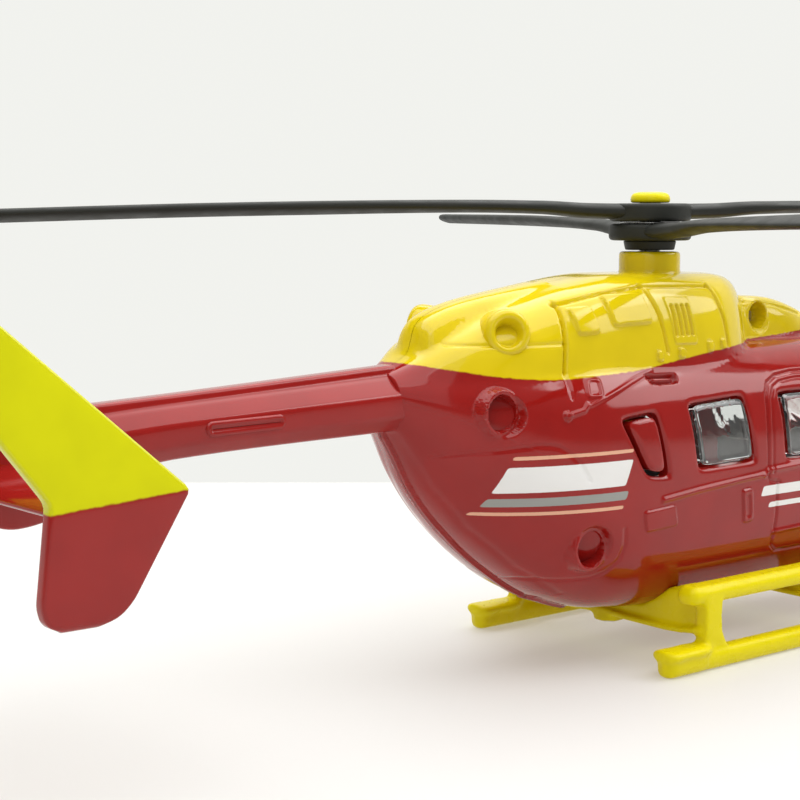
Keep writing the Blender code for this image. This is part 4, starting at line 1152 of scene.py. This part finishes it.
def rotor(black, steel, yellow):
    """Both blade strips, and the small turned pieces on the mast."""
    lower = blade_strip(LOWER_HUB_Z, LOWER_AZIMUTH, LOWER_PATH)
    upper = blade_strip(UPPER_HUB_Z, UPPER_AZIMUTH, UPPER_PATH)
    upper += bolts(UPPER_HUB_Z[1] - BOLT_SINK, UPPER_AZIMUTH)
    groups = [(surface, black) for surface in lower]
    piece("blade_strip_lower", groups, "rotor", ("rotor_blades_lower",))
    groups = [(surface, black) for surface in upper]
    piece("blade_strip_upper", groups, "folding_blades", ("rotor_blades_upper",))
    washer = lathe([*rounded_profile(HUB_WASHER, 0.1, 3), (HUB_WASHER[0][0], LOWER_HUB_Z[1])])
    shaft = lathe(rounded_profile(SHAFT, 0.15, 3), 48)
    cap = lathe(rounded_profile(CAP, 0.4, 4), 56)
    for name, surface, finish, node, slot in (
        ("drive_collar", turned_ring(DRIVE_COLLAR, 0.25, 4), black, "rotor_collar", "black_plastic"),
        ("hub_washer", washer, steel, "friction_washer", "steel"),
        ("mast_shaft", shaft, steel, "rotor_mast", "steel"),
        ("mast_cap", cap, yellow, "rotor_cap", "yellow_plastic"),
    ):
        piece(name, [(surface, finish)], "rotor", (node,))


def small_rotor(black, steel):
    """Tail rotor on its pin."""
    x, z = GEARBOX[:2]
    groups = [(placed(turned_ring(TAIL_HUB, 0.35, 4, 48), about(x, z)), black)]
    for turn in (0, math.pi):
        rings = []
        for r in np.concatenate([np.linspace(0.5, 18, 30), np.linspace(18.2, 19.6, 10)]):
            chord = float(through(TAIL_BLADE, r))
            ring = []
            for i in range(28):
                a = 2 * math.pi * i / 28
                lift = math.copysign(abs(math.sin(a)) ** 0.8, math.sin(a)) * 0.5
                ring.append((math.cos(a) * chord / 2, TAIL_ROTOR_Y + lift, r))
            rings.append(ring)
        turned = Matrix.Translation((x, 0, z)) @ Matrix.Rotation(TAIL_ROTOR_TILT + turn, 4, "Y")
        groups.append((placed(loft(rings), turned), black))
    piece("small_rotor", groups, "tail_rotor", ("tail_rotor",))
    pin = placed(lathe(rounded_profile(TAIL_PIN, 0.2, 4), 32), about(x, z))
    piece("small_rotor_pin", [(pin, steel)], "root", ("tail_rotor_pin",))


# ---- Materials ----


class Nodes:
    """A short way to write the nodes of a new material, or of a world that is handed in."""

    def __init__(self, name, world=None):
        self.material = None if world else bpy.data.materials.new(name)
        owner = world or self.material
        owner.use_nodes = True
        self.tree = owner.node_tree
        self.shader = self.tree.nodes.get("Principled BSDF")

    def add(self, kind, **settings):
        node = self.tree.nodes.new(kind)
        for key, value in settings.items():
            if key in node.inputs:
                node.inputs[key].default_value = value
            else:
                setattr(node, key, value)
        return node

    def link(self, out, to):
        self.tree.links.new(out, to)

    def give(self, to, value):
        """Give an input a constant, or link a node's output to it."""
        if isinstance(value, bpy.types.NodeSocket):
            self.link(value, to)
        else:
            to.default_value = value

    def set(self, **values):
        """Give the shader's inputs their values."""
        for key, value in values.items():
            self.give(self.shader.inputs[key.replace("_", " ")], value)

    def noise(self, scale, detail=3.0, roughness=0.5):
        """Noise in metres: scale is in cycles a metre."""
        where = self.add("ShaderNodeTexCoord")
        made = self.add("ShaderNodeTexNoise", Scale=scale, Detail=detail, Roughness=roughness)
        self.link(where.outputs["Object"], made.inputs["Vector"])
        return made.outputs["Fac"]

    def ranged(self, value, from_min, from_max, to_min=0.0, to_max=1.0):
        limits = {"From Min": from_min, "From Max": from_max, "To Min": to_min, "To Max": to_max}
        made = self.add("ShaderNodeMapRange", interpolation_type="SMOOTHSTEP", **limits)
        self.link(value, made.inputs["Value"])
        return made.outputs["Result"]

    def sum(self, a, b, factor):
        """a + (b - 0.5) * factor"""
        scaled = self.add("ShaderNodeMath", operation="MULTIPLY_ADD")
        self.link(b, scaled.inputs[0])
        scaled.inputs[1].default_value = factor
        scaled.inputs[2].default_value = -factor / 2
        total = self.add("ShaderNodeMath", operation="ADD")
        self.link(a, total.inputs[0])
        self.link(scaled.outputs[0], total.inputs[1])
        return total.outputs[0]

    def mixed(self, factor, a, b):
        """Colour a where the factor is 0 and b where it is 1; each is a colour or a node's output."""
        made = self.add("ShaderNodeMix", data_type="RGBA")
        self.give(made.inputs[0], factor)
        for colour, to in ((a, made.inputs[6]), (b, made.inputs[7])):
            self.give(to, (*colour, 1) if isinstance(colour, tuple) else colour)
        return made.outputs[2]

    def finish(self, output, ray, plain, special):
        """Lead the special shader to the output for rays of one kind, and the plain one for the others."""
        mix = self.add("ShaderNodeMixShader")
        sources = (self.add("ShaderNodeLightPath").outputs[ray], plain, special)
        for source, to in zip(sources, mix.inputs):
            self.link(source, to)
        self.link(mix.outputs[0], self.tree.nodes[output].inputs["Surface"])

    def attribute(self, name):
        return self.add("ShaderNodeAttribute", attribute_name=name).outputs["Fac"]

    def bump(self, height, strength, distance):
        made = self.add("ShaderNodeBump", Strength=strength, Distance=distance * MM)
        self.link(height, made.inputs["Height"])
        self.set(Normal=made.outputs["Normal"])


def body_paint(name, red, yellow, fuzz):
    """Thick gloss paint, red with a masked yellow area; the printed bars go on in printed()."""
    n = Nodes(name)
    wander = n.noise(900, 4)
    edge = n.sum(n.attribute("yellow_above"), wander, fuzz)
    mask = n.ranged(edge, -0.12, 0.16)
    tone = n.noise(160, 2)
    deep_red = n.mixed(n.ranged(tone, 0.3, 0.7), red, tuple(c * 1.1 for c in red))
    deep_yellow = n.mixed(n.ranged(tone, 0.3, 0.7), yellow, tuple(c * 0.94 for c in yellow))
    colour = n.mixed(mask, deep_red, deep_yellow)
    sheen = n.ranged(n.noise(300, 2), 0.3, 0.7, 0.06, 0.11)
    n.set(Base_Color=colour, Roughness=sheen, Coat_Weight=0.08, Coat_Roughness=0.04, IOR=1.4)
    n.bump(n.noise(500, 2), 0.15, 0.02)
    return n, colour


def printed(n, colour):
    """Plain printed bars over the paint, thin and a little uneven."""
    for name, ink in (("peach_print", PEACH), ("grey_print", SILVER), ("white_print", WHITE)):
        edge = n.sum(n.attribute(name), n.noise(2500, 3), 0.06)
        colour = n.mixed(n.ranged(edge, -0.04, 0.04), colour, ink)
    n.set(Base_Color=colour)


def plastic(name, colour, roughness, spread=0.06, scale=220, bump=0.15, darker=0.82, ior=1.5):
    """Moulded plastic with flow marks and an uneven sheen."""
    n = Nodes(name)
    flow = n.noise(scale, 4, 0.6)
    tone = n.mixed(n.ranged(flow, 0.35, 0.65), tuple(c * darker for c in colour), colour)
    sheen = n.ranged(n.noise(scale * 2, 3), 0.3, 0.7, roughness - spread, roughness + spread)
    n.set(Base_Color=tone, Roughness=sheen, IOR=ior)
    n.bump(n.noise(scale * 6, 3), bump, 0.03)
    return n


def metal(name, colour, roughness):
    n = plastic(name, colour, roughness, 0.08, 400, 0.2, 0.9)
    n.set(Metallic=1.0)
    return n.material


def clear_plastic():
    n = Nodes("clear_plastic")
    tone = n.mixed(n.noise(200, 2), *CLEAR_TONES)
    sheen = n.ranged(n.noise(250, 3), 0.3, 0.7, 0.01, 0.05)
    n.set(Base_Color=tone, Roughness=sheen, Transmission_Weight=1.0, IOR=1.59)
    n.bump(n.noise(130, 1), 0.25, 0.06)
    clear = n.add("ShaderNodeBsdfTransparent")
    n.finish("Material Output", "Is Shadow Ray", n.shader.outputs[0], clear.outputs[0])
    return n.material


# ---- Studio ----


def to_world(point):
    return Vector((point[0] + MAST_X, point[1], point[2])) * MM


def camera():
    data = bpy.data.cameras.new("camera")
    data.lens = CAMERA_LENS
    data.sensor_width = 36
    data.clip_start = 0.01
    data.clip_end = 20
    made = bpy.data.objects.new("camera", data)
    bpy.context.scene.collection.objects.link(made)
    made.location = to_world(CAMERA_PLACE)
    heading = Vector(CAMERA_HEADING).normalized()
    level = math.cos(CAMERA_PITCH)
    aim = Vector((heading.x * level, heading.y * level, math.sin(CAMERA_PITCH)))
    made.rotation_euler = aim.to_track_quat("-Z", "Y").to_euler()
    bpy.context.scene.camera = made


def floor():
    """A white sheet that ends a little way behind the model."""
    heading = Vector(CAMERA_HEADING).normalized()
    across = Vector((heading.y, -heading.x))
    eye = Vector(CAMERA_PLACE[:2])
    corners = []
    for forward, sideways in ((FLOOR_EDGE, -1), (FLOOR_EDGE, 1), (-FLOOR_REACH, 1), (-FLOOR_REACH, -1)):
        corners.append(eye + heading * forward + across * sideways * FLOOR_REACH)
    mesh = bpy.data.meshes.new("floor")
    mesh.from_pydata([to_world((c.x, c.y, 0)) for c in corners], [], [(3, 2, 1, 0)])
    n = Nodes("floor")
    n.set(Base_Color=n.mixed(n.noise(3, 2), *FLOOR_TONES), Roughness=0.55)
    # Painted light: a warm glow that lightens and warms the shadows on the floor
    n.set(Emission_Color=FLOOR_GLOW, Emission_Strength=FLOOR_GLOW_STRENGTH)
    mesh.materials.append(n.material)
    made = bpy.data.objects.new("floor", mesh)
    bpy.context.scene.collection.objects.link(made)


def softbox(name, place, aim, width, depth, power):
    data = bpy.data.lights.new(name, "AREA")
    data.shape = "RECTANGLE"
    data.size = width * MM
    data.size_y = depth * MM
    data.energy = power
    made = bpy.data.objects.new(name, data)
    bpy.context.scene.collection.objects.link(made)
    made.location = to_world(place)
    made.rotation_euler = (to_world(aim) - to_world(place)).to_track_quat("-Z", "Y").to_euler()


def surroundings():
    """Surroundings plain to the camera; in reflections they are bright ahead of it and dim elsewhere."""
    world = bpy.data.worlds.new("studio")
    bpy.context.scene.world = world
    n = Nodes("studio", world)
    where = n.add("ShaderNodeTexCoord").outputs["Generated"]
    apart = n.add("ShaderNodeSeparateXYZ")
    n.link(where, apart.inputs[0])
    ramp = n.add("ShaderNodeValToRGB")
    n.link(apart.outputs["Z"], ramp.inputs[0])
    stops = ramp.color_ramp.elements
    stops.new(WORLD_STOPS[1][0])
    for stop, (height, colour) in zip(stops, WORLD_STOPS):
        stop.position = height
        stop.color = (*colour, 1)
    ahead = n.add("ShaderNodeVectorMath", operation="DOT_PRODUCT")
    ahead.inputs[1].default_value = (*Vector(CAMERA_HEADING).normalized(), 0)
    n.link(where, ahead.inputs[0])
    background = n.tree.nodes["Background"]
    n.link(n.mixed(n.ranged(ahead.outputs["Value"], 0.25, 0.6), ramp.outputs["Color"], BACKDROP),
           background.inputs["Color"])
    seen = n.add("ShaderNodeBackground", Color=(*BACKDROP, 1))
    n.finish("World Output", "Is Camera Ray", background.outputs[0], seen.outputs[0])


def studio():
    surroundings()
    for light in LIGHTS:
        softbox(*light)
    bpy.context.scene.view_settings.view_transform = "Standard"


# ---- Everything ----


def remaining(finishes):
    """The CAD nodes that are shown as they are get the finish of their kind."""
    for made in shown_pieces():
        node = made.get("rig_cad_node")
        if node is None:
            continue
        finish = finishes["grey" if "interior" in node else "steel"]
        made.data.materials.clear()
        made.data.materials.append(finish)


def main():
    n, colour = body_paint("body_paint", RED, YELLOW, 0.35)
    printed(n, colour)
    paint = n.material
    plate_paint = body_paint("tail_paint", RED_DARK, PLATE_YELLOW, 0.3)[0].material
    zinc = plastic("bare_zinc", ZINC, 0.6).material
    dark = plastic("gearbox_paint", RED, 0.25).material
    yellow = plastic("yellow_plastic", SKID_YELLOW, 0.3, bump=0.05, darker=0.97, ior=1.25).material
    black = plastic("black_plastic", BLACK, 0.55, 0.06, 160, 0.12, 0.8, ior=1.34).material
    steel = metal("plated_steel", STEEL, 0.3)
    grey = plastic("grey_plastic", GREY, 0.5).material
    clear = clear_plastic()
    castings(paint, zinc, dark)
    windows(paint, clear)
    tailplane(plate_paint)
    undercarriage(yellow)
    rotor(black, steel, yellow)
    small_rotor(black, steel)
    remaining({"grey": grey, "steel": steel})
    camera()
    floor()
    studio()


main()
